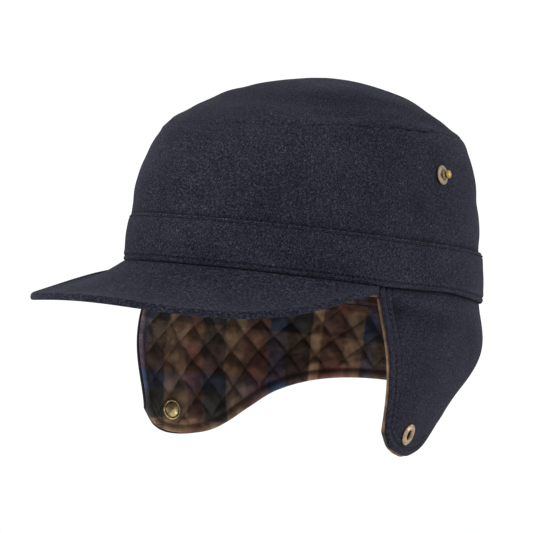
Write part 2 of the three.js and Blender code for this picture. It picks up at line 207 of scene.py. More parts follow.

# Ridges along an edge, as distance from it, width and height, and the painted shade along them, as
# distance, width and darkness. Grooves and painted highlights are negative.
BAND_LOW_RIDGES = ((1.4, 1.0, 0.3), (4.4, 1.3, 0.25), (0, 1.6, -0.4))
BAND_TOP_RIDGES = ((0, 2.2, -0.7),)
BAND_LOW_SHADES = ((BAND_LOW_STITCH, 0.42, 0.52), (4.1, 0.7, -0.32), (1.2, 0.8, -0.22), (0, 0.3, 0.5))
BAND_TOP_SHADES = ((1.7, 0.45, 0.6), (0.5, 0.5, -0.4))
PEAK_RIDGES = ((PEAK_STITCH, 0.5, -0.42), (1.2, 0.9, 0.2))
PEAK_SHADES = ((PEAK_STITCH, 0.45, 0.5), (1.2, 0.7, -0.2))
FLAP_EDGE_RIDGES = (
    (FLAP_STITCH, 0.7, -0.42), (2.0, 1.4, 0.22), (ALLOWANCE - 0.9, 0.9, 0.24), (ALLOWANCE + 0.6, 0.8, -0.18),
)
FLAP_EDGE_SHADES = (
    (FLAP_STITCH, 0.6, 0.45), (2.2, 1.1, -0.18), (ALLOWANCE - 0.9, 0.9, -0.22), (ALLOWANCE + 0.6, 0.7, 0.25),
)
SNAP_RIDGES = ((0, 6.5, -0.35), (10, 3.0, 0.12))

# The band's lower edge bows up over the flap, and the wool hangs a little at the right tip.
BAND_BOW, BAND_BOW_ANGLE, BAND_BOW_REACH = 1.7, 97.0, 15.0
RIGHT_TIP, RIGHT_TIP_WIDTH, TIP_WOOL_DROP = 281.0, 10.0, 0.6

# Grids: columns round the head, even steps, and lines near an edge as distances from it.
RING_COLUMNS, BAND_COLUMNS, PEAK_COLUMNS, PEAK_ROWS = 480, 720, 300, 56
CROWN_SIDE_STEP, CROWN_TOP_STEP, BAND_STEP, INNER_BAND_STEP = 0.055, 0.045, 1.1, 1.6
SHELL_STEPS, LINING_STEPS = (1.05, 1.1), (0.86, 0.88)
PEAK_SHORT_RUN, PEAK_END_MARGIN, PEAK_THREAD_MARGIN = 7.0, 0.6, 3.0
SEAM_ROW_GAP, POLE_GAP = 0.025, 0.05
CROWN_FOOT_STEPS = (0, 0.02, 0.045, 0.075, 0.11, 0.15, 0.2, 0.27, 0.36)
CROWN_TOP_STEPS = (0.008, 0.03, 0.055, 0.085, 0.12, 0.16, 0.22, 0.3)
BAND_EDGE = (0, 0.06, 0.2, 0.4, 0.7, 1.1, 1.5, 1.9, 2.3, 2.6, 2.9, 3.2, 3.6, 4.2)
INNER_BAND_EDGE = (0, 0.06, 0.2, 0.45, 0.8, 1.2, 1.6, 2.0, 2.5)
PEAK_EDGE = (0, 0.05, 0.17, 0.35, 0.6, 0.9, 1.25, 1.6, 1.9, 2.15, 2.4, 2.6, 2.8, 3.05, 3.4, 4.0, 5.0)
FLAP_EDGE = (
    0, 0.08, 0.25, 0.5, 0.8, 1.2, 1.7, 2.2, 2.6, 2.9, 3.2, 3.6, 4.0, 4.3, 4.6, 4.9, 5.3, 5.9, 6.6, 7.4, 8.2,
)

# The tartan, in metres: one repeat, how far its lines stray, and the pitch of its twill.
TARTAN_REPEAT, TARTAN_DRIFT, TWILL_PITCH = 0.150, 0.0025, 0.0011

# Places of the press studs: side, angle and height.
STUD_ANGLE, STUD_STEP, STUD_LEAN = 95.8, 2.74, 6.0
FLAP_SNAPS = (("left", 82.0, -73.5), ("right", 279.5, -77.3))
CAP_LIFT = LINING_FACE - LINING_PINCHED - 0.25
POST_FOOT = 2.5

# Turned sections, as radius and height above the cloth.
SOCKET_SECTION = (
    (2.2, -0.3), (5.5, -0.3), (5.7, 0.0), (5.75, 0.45), (5.65, 0.8), (5.4, 1.02), (5.15, 1.06),
    (4.95, 0.9), (4.75, 0.95), (4.4, 1.25), (3.9, 1.42), (3.5, 1.44), (3.1, 1.34), (2.8, 1.14),
    (2.6, 0.9), (2.45, 0.5), (2.2, 0.2),
)
CAP_SECTION = (
    (0, -0.3), (5.3, -0.3), (5.55, -0.1), (5.65, 0.3), (5.55, 0.72), (5.3, 0.98), (5.0, 1.06),
    (4.72, 0.98), (4.5, 0.8), (4.3, 0.78), (3.9, 0.95), (3.2, 1.2), (2.2, 1.42), (1.2, 1.54), (0, 1.58),
)
STUD_SECTION = (
    (0, -0.3), (4.9, -0.3), (5.15, -0.1), (5.2, 0.2), (5.1, 0.5), (4.85, 0.68), (4.4, 0.78), (3.7, 0.9),
    (3.0, 1.12), (2.6, 1.18), (2.3, 1.1), (1.9, 1.15), (1.6, 1.5), (1.45, 2.1), (1.45, 2.5), (1.7, 2.8),
    (2.05, 3.1), (2.2, 3.5), (2.15, 3.95), (1.9, 4.35), (1.4, 4.68), (0.8, 4.84), (0, 4.9),
)


def colour_setting(name, description, default):
    """A colour that a user may change."""
    return bpy.props.FloatVectorProperty(
        name=name, description=description, subtype="COLOR", size=3, min=0, max=1, default=default)


def length_setting(name, description, low, high, default):
    """A length in metres that a user may change."""
    return bpy.props.FloatProperty(
        name=name, description=description, unit="LENGTH", min=low, max=high, default=default)


class CapWool(bpy.types.PropertyGroup):
    """Colours and stitching of the wool."""

    dark: colour_setting("Wool dark", "Colour between the fibres of the nap", (0.0040, 0.0041, 0.0068))
    light: colour_setting("Wool light", "Colour of the lightest fibres", (0.0630, 0.0630, 0.0955))
    thread: colour_setting("Thread", "Colour of the topstitching", (0.022, 0.023, 0.036))
    stitch: length_setting("Stitch length", "From one topstitch to the next", 0.0015, 0.006, 0.0031)
    seam: length_setting("Seam depth", "Depth of the seam round the top panel", 0, 0.003, 0.0006)


class CapQuilt(bpy.types.PropertyGroup):
    """Size of the diamonds and the five colours of the tartan."""

    half_width: length_setting("Diamond half width", "Half the width of a diamond", 0.004, 0.02, 0.009)
    half_height: length_setting("Diamond half height", "Half the height of a diamond", 0.004, 0.02, 0.010)
    puff: length_setting("Puff", "How far a diamond swells from its stitched edges", 0, 0.006, 0.0034)
    tan: colour_setting("Tan", "Lightest brown of the tartan", (0.230, 0.140, 0.078))
    brown: colour_setting("Brown", "Middle brown of the tartan", (0.128, 0.078, 0.048))
    rust: colour_setting("Rust", "Red brown of the tartan", (0.088, 0.039, 0.029))
    olive: colour_setting("Olive", "Dark olive of the tartan", (0.021, 0.020, 0.018))
    navy: colour_setting("Navy", "Blue of the tartan", (0.023, 0.029, 0.056))


class CapBrass(bpy.types.PropertyGroup):
    """Colours of the press studs."""

    stud: colour_setting("Stud brass", "Greyed brass of the studs on the crown", (0.195, 0.170, 0.125))
    socket: colour_setting("Socket brass", "Coppery brass of the socket rings", (0.47, 0.32, 0.22))
    cap: colour_setting("Cap brass", "Golden brass of the caps inside the flap", (0.78, 0.60, 0.29))
    ball: colour_setting("Ball brass", "Golden brass of the balls on the studs", (0.35, 0.235, 0.066))
    patina: colour_setting("Brass patina", "Colour of the clouded brass", (0.25, 0.19, 0.11))


class CapStage(bpy.types.PropertyGroup):
    """Floor and lights."""

    floor_drop: length_setting("Floor below the rim", "Height of the rim over the floor", 0.1, 3, 1.3)
    sky: bpy.props.FloatProperty(
        name="Room light", description="Strength of the even light of the room", min=0, max=4, default=1.0)
    key: bpy.props.FloatProperty(
        name="Key light", description="Strength of the large lamp at the upper left, in watts",
        min=0, max=500, default=14.0)


# Shapes.


def along_table(rows, place, level_from=None):
    """Columns of a table at places between its rows: a cubic through the rows, whose slope at a row is
    the rise from the row before to the row after over their distance. Columns of the result from
    level_from on arrive level at the last row."""
    knots, values = rows[:, 0], rows[:, 1:]
    count = np.arange(len(knots))
    before, after = np.maximum(count - 1, 0), np.minimum(count + 1, len(knots) - 1)
    slopes = (values[after] - values[before]) / (knots[after] - knots[before])[:, None]
    if level_from is not None:
        slopes[-1, level_from:] = 0
    place = np.asarray(place, float)
    i = np.clip(np.searchsorted(knots, place) - 1, 0, len(knots) - 2)
    span = knots[i + 1] - knots[i]
    t = np.clip((place - knots[i]) / span, 0, 1)[..., None]
    span = span[..., None]
    rise = 3 * t**2 - 2 * t**3
    value = values[i] * (1 - rise) + values[i + 1] * rise
    value += slopes[i] * span * (t**3 - 2 * t**2 + t) + slopes[i + 1] * span * (t**3 - t**2)
    return np.moveaxis(value, -1, 0)


def hills(table, u, v):
    """Sum of soft hills, each with a place, its reaches and its height: height e^(-du2 - dv2)."""
    total = np.zeros(np.broadcast(u, v).shape)
    for place_u, place_v, reach_u, reach_v, height in table:
        total += height * np.exp(-((u - place_u) / reach_u) ** 2 - ((v - place_v) / reach_v) ** 2)
    return total


def waves(table, angle, v):
    """Sum of sines that close round the head: height sin(turns angle + turns up v + phase)."""
    turn = np.radians(angle)
    total = np.zeros(np.broadcast(angle, v).shape)
    for round_head, up, phase, height in table:
        total += height * np.sin(round_head * turn + 2 * math.pi * up * v + phase)
    return total


def line_relief(distance, place, width, height):
    """A ridge, or a groove where height is negative, along a line at one distance: a bell curve."""
    return height * np.exp(-(((distance - place) / width) ** 2))


def ridges(distance, rows):
    """Sum of ridges and grooves along lines at their own distances."""
    return sum(line_relief(distance, *row) for row in rows)


def edge_round(distance, radius):
    """Share of the full thickness near a rounded edge: a quarter circle over the radius."""
    t = np.clip(distance / radius, 0, 1)
    return np.sqrt(np.clip(1 - (1 - t) ** 2, 0.0004, 1))


def smooth(t):
    """0 below 0, 1 above 1, and a smooth step between."""
    t = np.clip(t, 0, 1)
    return t * t * (3 - 2 * t)


def from_front(angle):
    """Degrees from the front on either side, from 0 to 180."""
    return np.abs(np.mod(angle + 180, 360) - 180)


def crown_face(angle, step):
    """Outer face of the crown: an oval at each step, whose height has a tilt and a saddle round the
    head, pressed in towards the middle by the dents."""
    width, length, centre_y, front, side, back = along_table(CROWN_RINGS, step, CROWN_HEIGHTS_FROM)
    turn = np.radians(angle)
    tilt = (front - back) / 2
    saddle = (front + back - 2 * side) / 4
    x = width * np.sin(turn)
    y = centre_y - length * np.cos(turn)
    z = side + saddle + tilt * np.cos(turn) + saddle * np.cos(2 * turn)
    press = hills(CROWN_DENTS, np.mod(angle, 360), step) / np.maximum(np.hypot(x, y), 1e-6)
    return np.stack(np.broadcast_arrays(x - x * press, y - y * press, z), -1)


def band_face(angle, z, inset=0.0):
    """Outer face of the band: an oval that narrows evenly with height, moved in by inset."""
    t = z / BAND_HEIGHT
    width, length, centre_y = (low + (high - low) * t for low, high in zip(BAND_BOTTOM, BAND_TOP))
    turn = np.radians(angle)
    x = (width - inset) * np.sin(turn)
    y = centre_y - (length - inset) * np.cos(turn)
    return np.stack(np.broadcast_arrays(x, y, z + 0.0 * x), -1)


def band_dip(angle):
    """How much lower the band's top is than at the back: it dips evenly to the front."""
    return BAND_FRONT_DIP * (1 + np.cos(np.radians(angle))) / 2


def peak_face(angle, reach):
    """Upper face of the peak: straight lines from the band's foot to an edge whose distance rounds off
    to the sides and whose drop eases to the ends, with a droop on the way and a shallow sag between."""
    side = np.clip(np.abs(angle) / PEAK_HALF_ANGLE, 0, 1)
    root = band_face(angle, 0.0 * angle)
    root[..., 2] = -CLOTH_GAP
    outline = (1 - side**PEAK_SIDE_POWER) ** PEAK_SIDE_ROUNDING
    distance = PEAK_END_REACH + (PEAK_REACH - PEAK_END_REACH) * outline
    heading = PEAK_FAN * np.radians(angle)
    drop = -PEAK_EDGE_DROP + (PEAK_EDGE_DROP - PEAK_END_DROP) * side**PEAK_DROP_POWER
    drop -= PEAK_SIDE_DROOP * 4 * side**2 * (1 - side**2)
    edge_x = root[..., 0] + distance * np.sin(heading)
    edge_y = root[..., 1] - distance * np.cos(heading)
    edge = np.stack([edge_x, edge_y, drop], -1)
    point = root + (edge - root) * reach[..., None]
    point[..., 2] -= PEAK_SAG * 4 * reach * (1 - reach) * (1 - side**2)
    return point


def flap_line(rim_angle):
    """Swing of a line down the flap, its depth, lean and bulge, mirrored past the back."""
    right = rim_angle > 180
    turned = from_front(rim_angle)
    edge_angle, depth, lean, bulge = along_table(FLAP_LINES, turned)
    swing = (edge_angle - np.maximum(turned, FLAP_FRONT)) * np.where(right, -1, 1)
    hang = RIGHT_TIP_HANG * np.exp(-(((turned - RIGHT_TIP_ANGLE) / RIGHT_TIP_REACH) ** 2))
    return swing, depth + np.where(right, hang, 0), lean, bulge


def flap_face(rim_angle, z):
    """Outer face of the flap: it hangs from behind the band, swells half way down and leans in below."""
    swing, depth, lean, bulge = flap_line(rim_angle)
    share = np.maximum(-z, 0) / depth
    swell = np.maximum(np.sin(math.pi * np.minimum(share, 1)), 0) ** FLAP_SWELL_POWER
    outwards = bulge * swell - lean * share**2
    point = band_face(rim_angle + swing * share, np.maximum(z, 0), TUCK_INSET - outwards)
    point[..., 2] = z
    return point


def face_normal(face, u, v):
    """Unit normal of a face: the cross product of the steps to its neighbours in u and in v."""
    step_u, step_v = 0.5, 0.02
    across_u = face(u + step_u, v) - face(u - step_u, v)
    across_v = face(u, v + step_v) - face(u, v - step_v)
    normal = np.cross(across_u, across_v)
    return normal / np.maximum(np.linalg.norm(normal, axis=-1, keepdims=True), 1e-12)


def walls(face, u, v, outer, inner, shift=0.0):
    """The outer and the inner side of a wall: points of a face moved along its normal by the two
    distances, and then up by the shift."""
    point, normal = face(u, v), face_normal(face, u, v)
    sides = [point + normal * distance[..., None] for distance in (outer, inner)]
    for side in sides:
        side[..., 2] += shift
    return sides


def arc_speed(angle):
    """Millimetres of the rim for each degree."""
    turn = np.radians(angle)
    return np.hypot(BAND_BOTTOM[0] * np.cos(turn), BAND_BOTTOM[1] * np.sin(turn)) * math.pi / 180


def arc_length(angle):
    """Millimetres along the rim from the back to an angle."""
    grid = np.linspace(0, 360, 2881)
    speeds = arc_speed(grid)
    lengths = np.concatenate([[0], np.cumsum((speeds[1:] + speeds[:-1]) / 2 * np.diff(grid))])
    return np.interp(angle, grid, lengths) - np.interp(180, grid, lengths)


def spaced(total, fine, step, both_ends=True):
    """Places from 0 to total: the fine places from the start, even steps, and the fine ones mirrored."""
    fine = np.asarray(fine, float)
    end = total - fine[-1] if both_ends else total
    count = max(int(round((end - fine[-1]) / step)), 1)
    middle = np.linspace(fine[-1], end, count + 1)[1:-1]
    tail = total - fine[::-1] if both_ends else [total]
    return np.concatenate([fine, middle, tail])


# Meshes.


def join(*corners):
    """Faces, from the arrays of their first points, of their second points and so on."""
    return np.stack([np.ravel(corner) for corner in corners], -1)


def new_piece(name, points, faces, uv=None, attributes=None):
    """A mesh object from points in millimetres and a list of face arrays, ready to ride on the root."""
    mesh = bpy.data.meshes.new(name)
    corners = np.concatenate([face.ravel() for face in faces])
    sizes = np.concatenate([np.full(len(face), face.shape[1]) for face in faces])
    mesh.vertices.add(len(points))
    mesh.vertices.foreach_set("co", np.asarray(points * METRES, np.float32).ravel())
    mesh.loops.add(len(corners))
    mesh.loops.foreach_set("vertex_index", corners.astype(np.int32))
    mesh.polygons.add(len(sizes))
    mesh.polygons.foreach_set("loop_start", (np.cumsum(sizes) - sizes).astype(np.int32))
    mesh.update(calc_edges=True)
    if uv is not None:
        layer = mesh.uv_layers.new(name="cloth")
        layer.data.foreach_set("uv", np.asarray(uv * METRES, np.float32).ravel())
    for key, values in (attributes or {}).items():
        layer = mesh.attributes.new(key, "FLOAT", "POINT")
        layer.data.foreach_set("value", values.astype(np.float32))
    mesh.validate()
    mesh.shade_smooth()
    piece = bpy.data.objects.new(name, mesh)
    bpy.context.scene.collection.objects.link(piece)
    return piece


def sheet_piece(name, sides, shades, ring=False, cloth=None, poles=()):
    """A closed sheet between two sides, outer and inner, which are grids of columns, rows and x, y, z.
    shades is the name of an attribute of painted shade, with its numbers for the outer and the inner
    side. A ring joins its last column to its first, and its last rows run together in two poles where
    they are given. cloth is the place in the weave of each grid point, with one column more for a ring."""
    columns, rows = sides[0].shape[:2]
    wide = columns + 1 if ring else columns
    out, into = np.arange(2 * wide * rows).reshape(2, wide, rows)
    faces = [
        join(out[:-1, :-1], out[1:, :-1], out[1:, 1:], out[:-1, 1:]),
        join(into[:-1, 1:], into[1:, 1:], into[1:, :-1], into[:-1, :-1]),
        join(into[:-1, 0], into[1:, 0], out[1:, 0], out[:-1, 0]),
    ]
    if len(poles):
        pole = np.full(columns, 2 * wide * rows)
        faces += [join(out[:-1, -1], out[1:, -1], pole), join(into[1:, -1], into[:-1, -1], pole + 1)]
    else:
        faces.append(join(out[:-1, -1], out[1:, -1], into[1:, -1], into[:-1, -1]))
    if not ring:
        faces.append(join(out[0, :-1], out[0, 1:], into[0, 1:], into[0, :-1]))
        faces.append(join(into[-1, :-1], into[-1, 1:], out[-1, 1:], out[-1, :-1]))
    column = np.arange(wide) % columns
    to_point = (np.arange(2)[:, None, None] * columns + column[:, None]) * rows + np.arange(rows)
    to_point = np.append(to_point, 2 * columns * rows + np.arange(2))
    uv = None
    if cloth is not None:
        corners = np.concatenate([face.ravel() for face in faces])
        uv = np.concatenate([cloth, cloth]).reshape(-1, 2)[corners]
    points = np.concatenate([np.reshape(part, (-1, 3)) for part in (*sides, poles)])
    key, *pair = shades
    values = [np.broadcast_to(value, (columns, rows)).ravel() for value in pair]
    values = np.concatenate([*values, np.zeros(len(poles))])
    return new_piece(name, points, [to_point[face] for face in faces], uv, {key: values})


def turned_piece(name, section, seat, axis, recess, sides=72):
    """A turned piece: a section of radius and height carried round an axis that stands on the seat.
    A section that starts off the axis closes on itself. Its faces are made to point outwards. recess is
    the radius and the width of a groove or hole that gets painted shade."""
    section = np.array(section, float)
    turn = np.arange(sides)[:, None] * 2 * math.pi / sides
    side = np.cross(axis, (0.0, 0.0, 1.0))
    side /= np.linalg.norm(side)
    ring = np.cos(turn) * side + np.sin(turn) * np.cross(side, axis)
    open_middle = section[0, 0] > 0
    body = section if open_middle else section[1:-1]
    points = seat + ring[:, None, :] * body[None, :, :1] + axis * body[None, :, 1:]
    index = np.arange(sides * len(body)).reshape(sides, -1)
    if open_middle:
        index = np.concatenate([index, index[:, :1]], 1)
    after = np.roll(index, -1, 0)
    faces = [join(index[:, :-1], after[:, :-1], after[:, 1:], index[:, 1:])]
    points = points.reshape(-1, 3)
    if not open_middle:
        pole = np.full(sides, len(points))
        points = np.concatenate([points, seat + axis * section[[0, -1], 1:]])
        faces += [join(after[:, 0], index[:, 0], pole), join(index[:, -1], after[:, -1], pole + 1)]
    reach = np.linalg.norm(np.cross(points - seat, axis), axis=-1)
    rise = (points - seat) @ axis
    # Painted shade in the groove or hole, below the post.
    dark = line_relief(reach, *recess, 1.0) * (rise < POST_FOOT + 0.1)
    post = smooth((rise - POST_FOOT) / 0.3)
    piece = new_piece(name, points, faces, None, {"shade": dark, "post": post})
    work = bmesh.new()
    work.from_mesh(piece.data)
    bmesh.ops.recalc_face_normals(work, faces=work.faces)
    work.to_mesh(piece.data)
    work.free()
    piece.data.shade_smooth()
    return piece


def stitch_piece(name, rows, pitch, thickness=THREAD_THICKNESS, sides=6):
    """Topstitching: short threads laid end to end along rows of points with normals. Each thread is a
    tube that rises from the cloth and dives back into it, as height sin(pi t) along its length."""
    along = np.linspace(-0.02, 1.02, 7)
    turn = np.arange(sides)[:, None] * 2 * math.pi / sides
    rise = thickness * (1.15 * np.sin(math.pi * np.clip(along, 0, 1)) - 0.62)
    radius = thickness * 0.5 * (0.55 + 0.45 * np.sin(math.pi * np.clip(along, 0.04, 0.96)))
    points, tubes, ends, start = [], [], [], 0
    for path, normals in rows:
        lengths = np.concatenate([[0], np.cumsum(np.linalg.norm(np.diff(path, axis=0), axis=1))])
        count = int(lengths[-1] / pitch)
        place = (np.arange(count)[:, None] + THREAD_START + THREAD_SHARE * along) * lengths[-1] / count
        centre = np.stack([np.interp(place, lengths, path[:, k]) for k in range(3)], -1)
        normal = np.stack([np.interp(place, lengths, normals[:, k]) for k in range(3)], -1)
        normal /= np.linalg.norm(normal, axis=-1, keepdims=True)
        tangent = np.gradient(centre, axis=1)
        tangent /= np.linalg.norm(tangent, axis=-1, keepdims=True)
        side = np.cross(tangent, normal)
        ring = np.cos(turn) * side[..., None, :] + np.sin(turn) * normal[..., None, :]
        centre = centre + normal * rise[:, None]
        tube = centre[..., None, :] + ring * radius[:, None, None]
        index = start + np.arange(tube[..., 0].size).reshape(tube.shape[:3])
        beside = np.roll(index, -1, 2)
        tubes.append(join(index[:, :-1], index[:, 1:], beside[:, 1:], beside[:, :-1]))
        ends += [index[:, 0], index[:, -1, ::-1]]
        points.append(tube.reshape(-1, 3))
        start += tube[..., 0].size
    piece = new_piece(name, np.concatenate(points), [np.concatenate(tubes), np.concatenate(ends)])
    return dress(piece, "sewing_thread", "navy_wool")


def dress(piece, material, slot, *nodes):
    """Gives a piece its material and its body, and hides the CAD nodes that it stands for. slot is not used.
    """
    piece.data.materials.append(material_named(material))
    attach(piece, "root")
    if nodes:
        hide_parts(*nodes)
    return piece


# Materials.


def node(tree, kind, values=None, **settings):
    """A shader node with its settings, whose inputs take a value or another node's output."""
    made = tree.nodes.new(kind)
    for key, value in settings.items():
        setattr(made, key, value)
    for key, value in (values or {}).items():
        if isinstance(value, bpy.types.NodeSocket):
            tree.links.new(value, made.inputs[key])
        else:
            made.inputs[key].default_value = value
    return made


def maths(tree, operation, first, second=0.0):
    """One sum on two numbers or outputs."""
    return node(tree, "ShaderNodeMath", {0: first, 1: second}, operation=operation).outputs[0]


def weighted(tree, first, first_share, second, second_share):
    """Sum of two outputs by their shares."""
    first = maths(tree, "MULTIPLY", first, first_share)
    return maths(tree, "ADD", first, maths(tree, "MULTIPLY", second, second_share))


def repeated(tree, place, length):
    """Places from 0 to 1 that start again after each length."""
    return maths(tree, "FRACT", maths(tree, "DIVIDE", place, length))


def mix(tree, share, first, second, blend="MIX"):
    """Two colours mixed by a share."""
    values = {0: share, 6: first, 7: second}
    return node(tree, "ShaderNodeMix", values, data_type="RGBA", blend_type=blend).outputs[2]


def ramp(tree, share, *stops):
    """A colour ramp over stops of place and colour, where a number stands for a grey."""
    made = node(tree, "ShaderNodeValToRGB", {0: share})
    elements = made.color_ramp.elements
    elements.remove(elements[1])
    elements[0].position = stops[0][0]
    for at, (place, colour) in enumerate(stops):
        element = elements.new(place) if at else elements[0]
        element.color = (*((colour,) * 3 if isinstance(colour, float) else colour), 1.0)
    return made.outputs[0]


def noise(tree, place, scale, detail=2.0, roughness=0.5, distortion=0.0):
    """Soft random values over a place."""
    values = {"Vector": place, "Scale": scale, "Detail": detail, "Roughness": roughness}
    values["Distortion"] = distortion
    return node(tree, "ShaderNodeTexNoise", values).outputs[0]


def new_material(name, values):
    """A material whose shader has the given fixed values; returns it with its tree and shader."""
    material = bpy.data.materials.new(name)
    material.use_nodes = True
    tree = material.node_tree
    shader = tree.nodes["Principled BSDF"]
    for key, value in values.items():
        shader.inputs[key].default_value = value
    return material, tree, shader


def object_place(tree):
    """The place on the object."""
    return node(tree, "ShaderNodeTexCoord").outputs["Object"]


def attribute(tree, name):
    """The numbers that a piece carries under a name."""
    return node(tree, "ShaderNodeAttribute", attribute_name=name).outputs["Fac"]


def shaded(tree, colour, name, light, dark):
    """A colour with painted shade where an attribute is 1 and a painted highlight where it is -1."""
    place = maths(tree, "ADD", maths(tree, "MULTIPLY", attribute(tree, name), 0.5), 0.5)
    tone = ramp(tree, place, (0.0, light), (0.5, 1.0), (1.0, dark))
    return mix(tree, 1.0, colour, tone, "MULTIPLY")


def cover(tree, shader, colour, height, strength, distance):
    """Gives a shader its colour and a fine relief."""
    bump = node(tree, "ShaderNodeBump", {"Height": height, "Strength": strength, "Distance": distance})
    tree.links.new(colour, shader.inputs["Base Color"])
    tree.links.new(bump.outputs[0], shader.inputs["Normal"])


def wool_material(wool, name, grain, upright=1.0):
    """Dark melton wool: a fuzzy face of curled fibres and flecks over a soft, uneven ground, with painted
    shade in seams, grooves, hollows and hidden faces and painted highlights on the ridges and folds beside
    them, as each piece's shade attribute gives. grain scales the fibres and flecks, and upright makes them
    that much finer up and down."""
    fixed = {"Roughness": 0.92, "Specular IOR Level": 0.04, "Sheen Weight": 0.035, "Sheen Roughness": 0.4}
    fixed["Sheen Tint"] = (0.62, 0.68, 0.90, 1.0)
    material, tree, shader = new_material(name, fixed)
    stretched = {0: object_place(tree), 1: (1.0, 1.0, upright)}
    place = node(tree, "ShaderNodeVectorMath", stretched, operation="MULTIPLY").outputs[0]
    fleck = noise(tree, place, 1450.0 / grain, 2.0, 0.6)
    fibre = noise(tree, place, 850.0 / grain, 3.0, 0.65, 0.8)
    patch = noise(tree, place, 30.0, 3.0, 0.55)
    both = weighted(tree, fleck, 0.6, fibre, 0.4)
    uneven = weighted(tree, both, 1.0, maths(tree, "SUBTRACT", patch, 0.5), 0.12)
    ground = tuple(0.4 * dark + 0.25 * light for dark, light in zip(wool.dark, wool.light))
    colour = ramp(tree, uneven, (0.36, wool.dark), (0.52, ground), (0.70, wool.light))
    # Painted shade and painted highlights from the shade attribute darken and lighten the colour.
    cover(tree, shader, shaded(tree, colour, "shade", 1.7, 0.12), both, 0.8, 0.00045)
    return material


def thread_material(wool, name):
    """Twisted sewing thread."""
    material, tree, shader = new_material(name, {"Roughness": 0.7, "Specular IOR Level": 0.25})
    strand = noise(tree, object_place(tree), 1600.0, 3.0, 0.6)
    dark = tuple(0.6 * channel for channel in wool.thread)
    cover(tree, shader, ramp(tree, strand, (0.35, dark), (0.65, wool.thread)), strand, 0.5, 0.0002)
    return material


def sett(quilt, softness=0.004):
    """The tartan's order of colours, as places in one repeat of the weave: each stripe is a width and a
    colour, and runs softly into the next."""
    stripes = (
        (8.6, quilt.brown), (7.4, quilt.olive), (4.0, quilt.navy), (6.0, quilt.brown), (8.0, quilt.rust),
        (3.2, quilt.tan), (8.2, quilt.olive), (5.8, quilt.navy), (8.7, quilt.rust), (7.3, quilt.brown),
        (8.8, quilt.olive), (6.0, quilt.rust),
    )
    widths = np.array([width for width, _ in stripes])
    ends = np.cumsum(widths) / widths.sum()
    stops = []
    for start, end, (_, colour) in zip(np.append(0.0, ends), ends, stripes):
        stops += [(float(start) + softness, colour), (float(end) - softness, colour)]
    return stops


def tartan_material(quilt, name):
    """Brushed tartan: the warp's stripes run down the cloth and the weft's across it, and a fine twill
    shows one or the other. Painted shade darkens the stitched valleys, the border's seam and the place
    under the inner band, painted light and shade run across each puff, and a painted highlight lines
    the border's edge; on the inner band the same attribute paints a pale thread line and painted shade.
    The weave follows the piece's own UV map."""
    fixed = {"Roughness": 0.9, "Specular IOR Level": 0.12, "Sheen Weight": 0.06}
    material, tree, shader = new_material(name, fixed)
    cloth = node(tree, "ShaderNodeUVMap", uv_map="cloth").outputs[0]
    wander = noise(tree, cloth, 90.0, 3.0, 0.6)
    split = node(tree, "ShaderNodeSeparateXYZ", {0: cloth})
    drift = maths(tree, "MULTIPLY", maths(tree, "SUBTRACT", wander, 0.5), TARTAN_DRIFT)
    across = maths(tree, "ADD", split.outputs[0], drift)
    down = maths(tree, "SUBTRACT", split.outputs[1], drift)
    warp, weft = (ramp(tree, repeated(tree, way, TARTAN_REPEAT), *sett(quilt)) for way in (across, down))
    ribs = repeated(tree, maths(tree, "ADD", across, down), TWILL_PITCH)
    fuzz = noise(tree, cloth, 1300.0, 3.0, 0.6)
    weave = weighted(tree, ribs, 0.35, fuzz, 0.65)
    colour = mix(tree, ramp(tree, weave, (0.38, 0.05), (0.62, 0.65)), warp, weft)
    worn = ramp(tree, noise(tree, cloth, 130.0, 2.0, 0.5), (0.34, 0.6), (0.66, 1.55))
    brushed = ramp(tree, fuzz, (0.3, 0.75), (0.7, 1.25))
    colour = mix(tree, 1.0, mix(tree, 1.0, colour, worn, "MULTIPLY"), brushed, "MULTIPLY")
    # Painted shade, painted highlights and pale thread lines from the piece's attribute.
    cover(tree, shader, shaded(tree, colour, "painted_shade_and_lines", 1.7, 0.38), weave, 0.6, 0.0003)
    return material


def brass_material(brass, name, bright):
    """Antique brass: a calm, slightly clouded metal with fine scratches, painted shade in its recesses and
    golden on a post."""
    material, tree, shader = new_material(name, {"Metallic": 1.0})
    place = object_place(tree)
    cloudy = noise(tree, place, 420.0, 3.0, 0.6)
    fine = noise(tree, place, 3600.0, 2.0, 0.5)
    tone = ramp(tree, cloudy, (0.38, brass.patina), (0.62, bright))
    tone = mix(tree, attribute(tree, "post"), tone, (*brass.ball, 1.0))
    tree.links.new(ramp(tree, cloudy, (0.3, 0.50), (0.7, 0.34)), shader.inputs["Roughness"])
    # Painted shade from the shade attribute darkens the recesses.
    cover(tree, shader, shaded(tree, tone, "shade", 1.0, 0.10), fine, 0.2, 0.0001)
    return material


def floor_material(name):
    """A pale, faintly mottled floor."""
    material, tree, shader = new_material(name, {"Roughness": 0.9})
    mottle = noise(tree, object_place(tree), 3.0, 2.0, 0.5)
    tone = ramp(tree, mottle, (0.3, FLOOR_MOTTLE * FLOOR_TONE), (0.7, FLOOR_TONE))
    tree.links.new(tone, shader.inputs["Base Color"])
    return material


def material_named(name):
    """The cap's material of that name, made at its first use."""
    scene = bpy.context.scene
    if name in bpy.data.materials:
        return bpy.data.materials[name]
    makers = {
        "melton_wool": (wool_material, scene.cap_wool, name, 1.0),
        "melton_wool_coarse": (wool_material, scene.cap_wool, name, 1.6, 1.7),
        "melton_wool_smooth": (wool_material, scene.cap_wool, name, 0.8),
        "sewing_thread": (thread_material, scene.cap_wool, name),
        "brushed_tartan": (tartan_material, scene.cap_quilt, name),
        "stud_brass": (brass_material, scene.cap_brass, name, scene.cap_brass.stud),
        "socket_brass": (brass_material, scene.cap_brass, name, scene.cap_brass.socket),
        "cap_brass": (brass_material, scene.cap_brass, name, scene.cap_brass.cap),
    }
    maker, *values = makers[name]
    return maker(*values)


# The pieces.


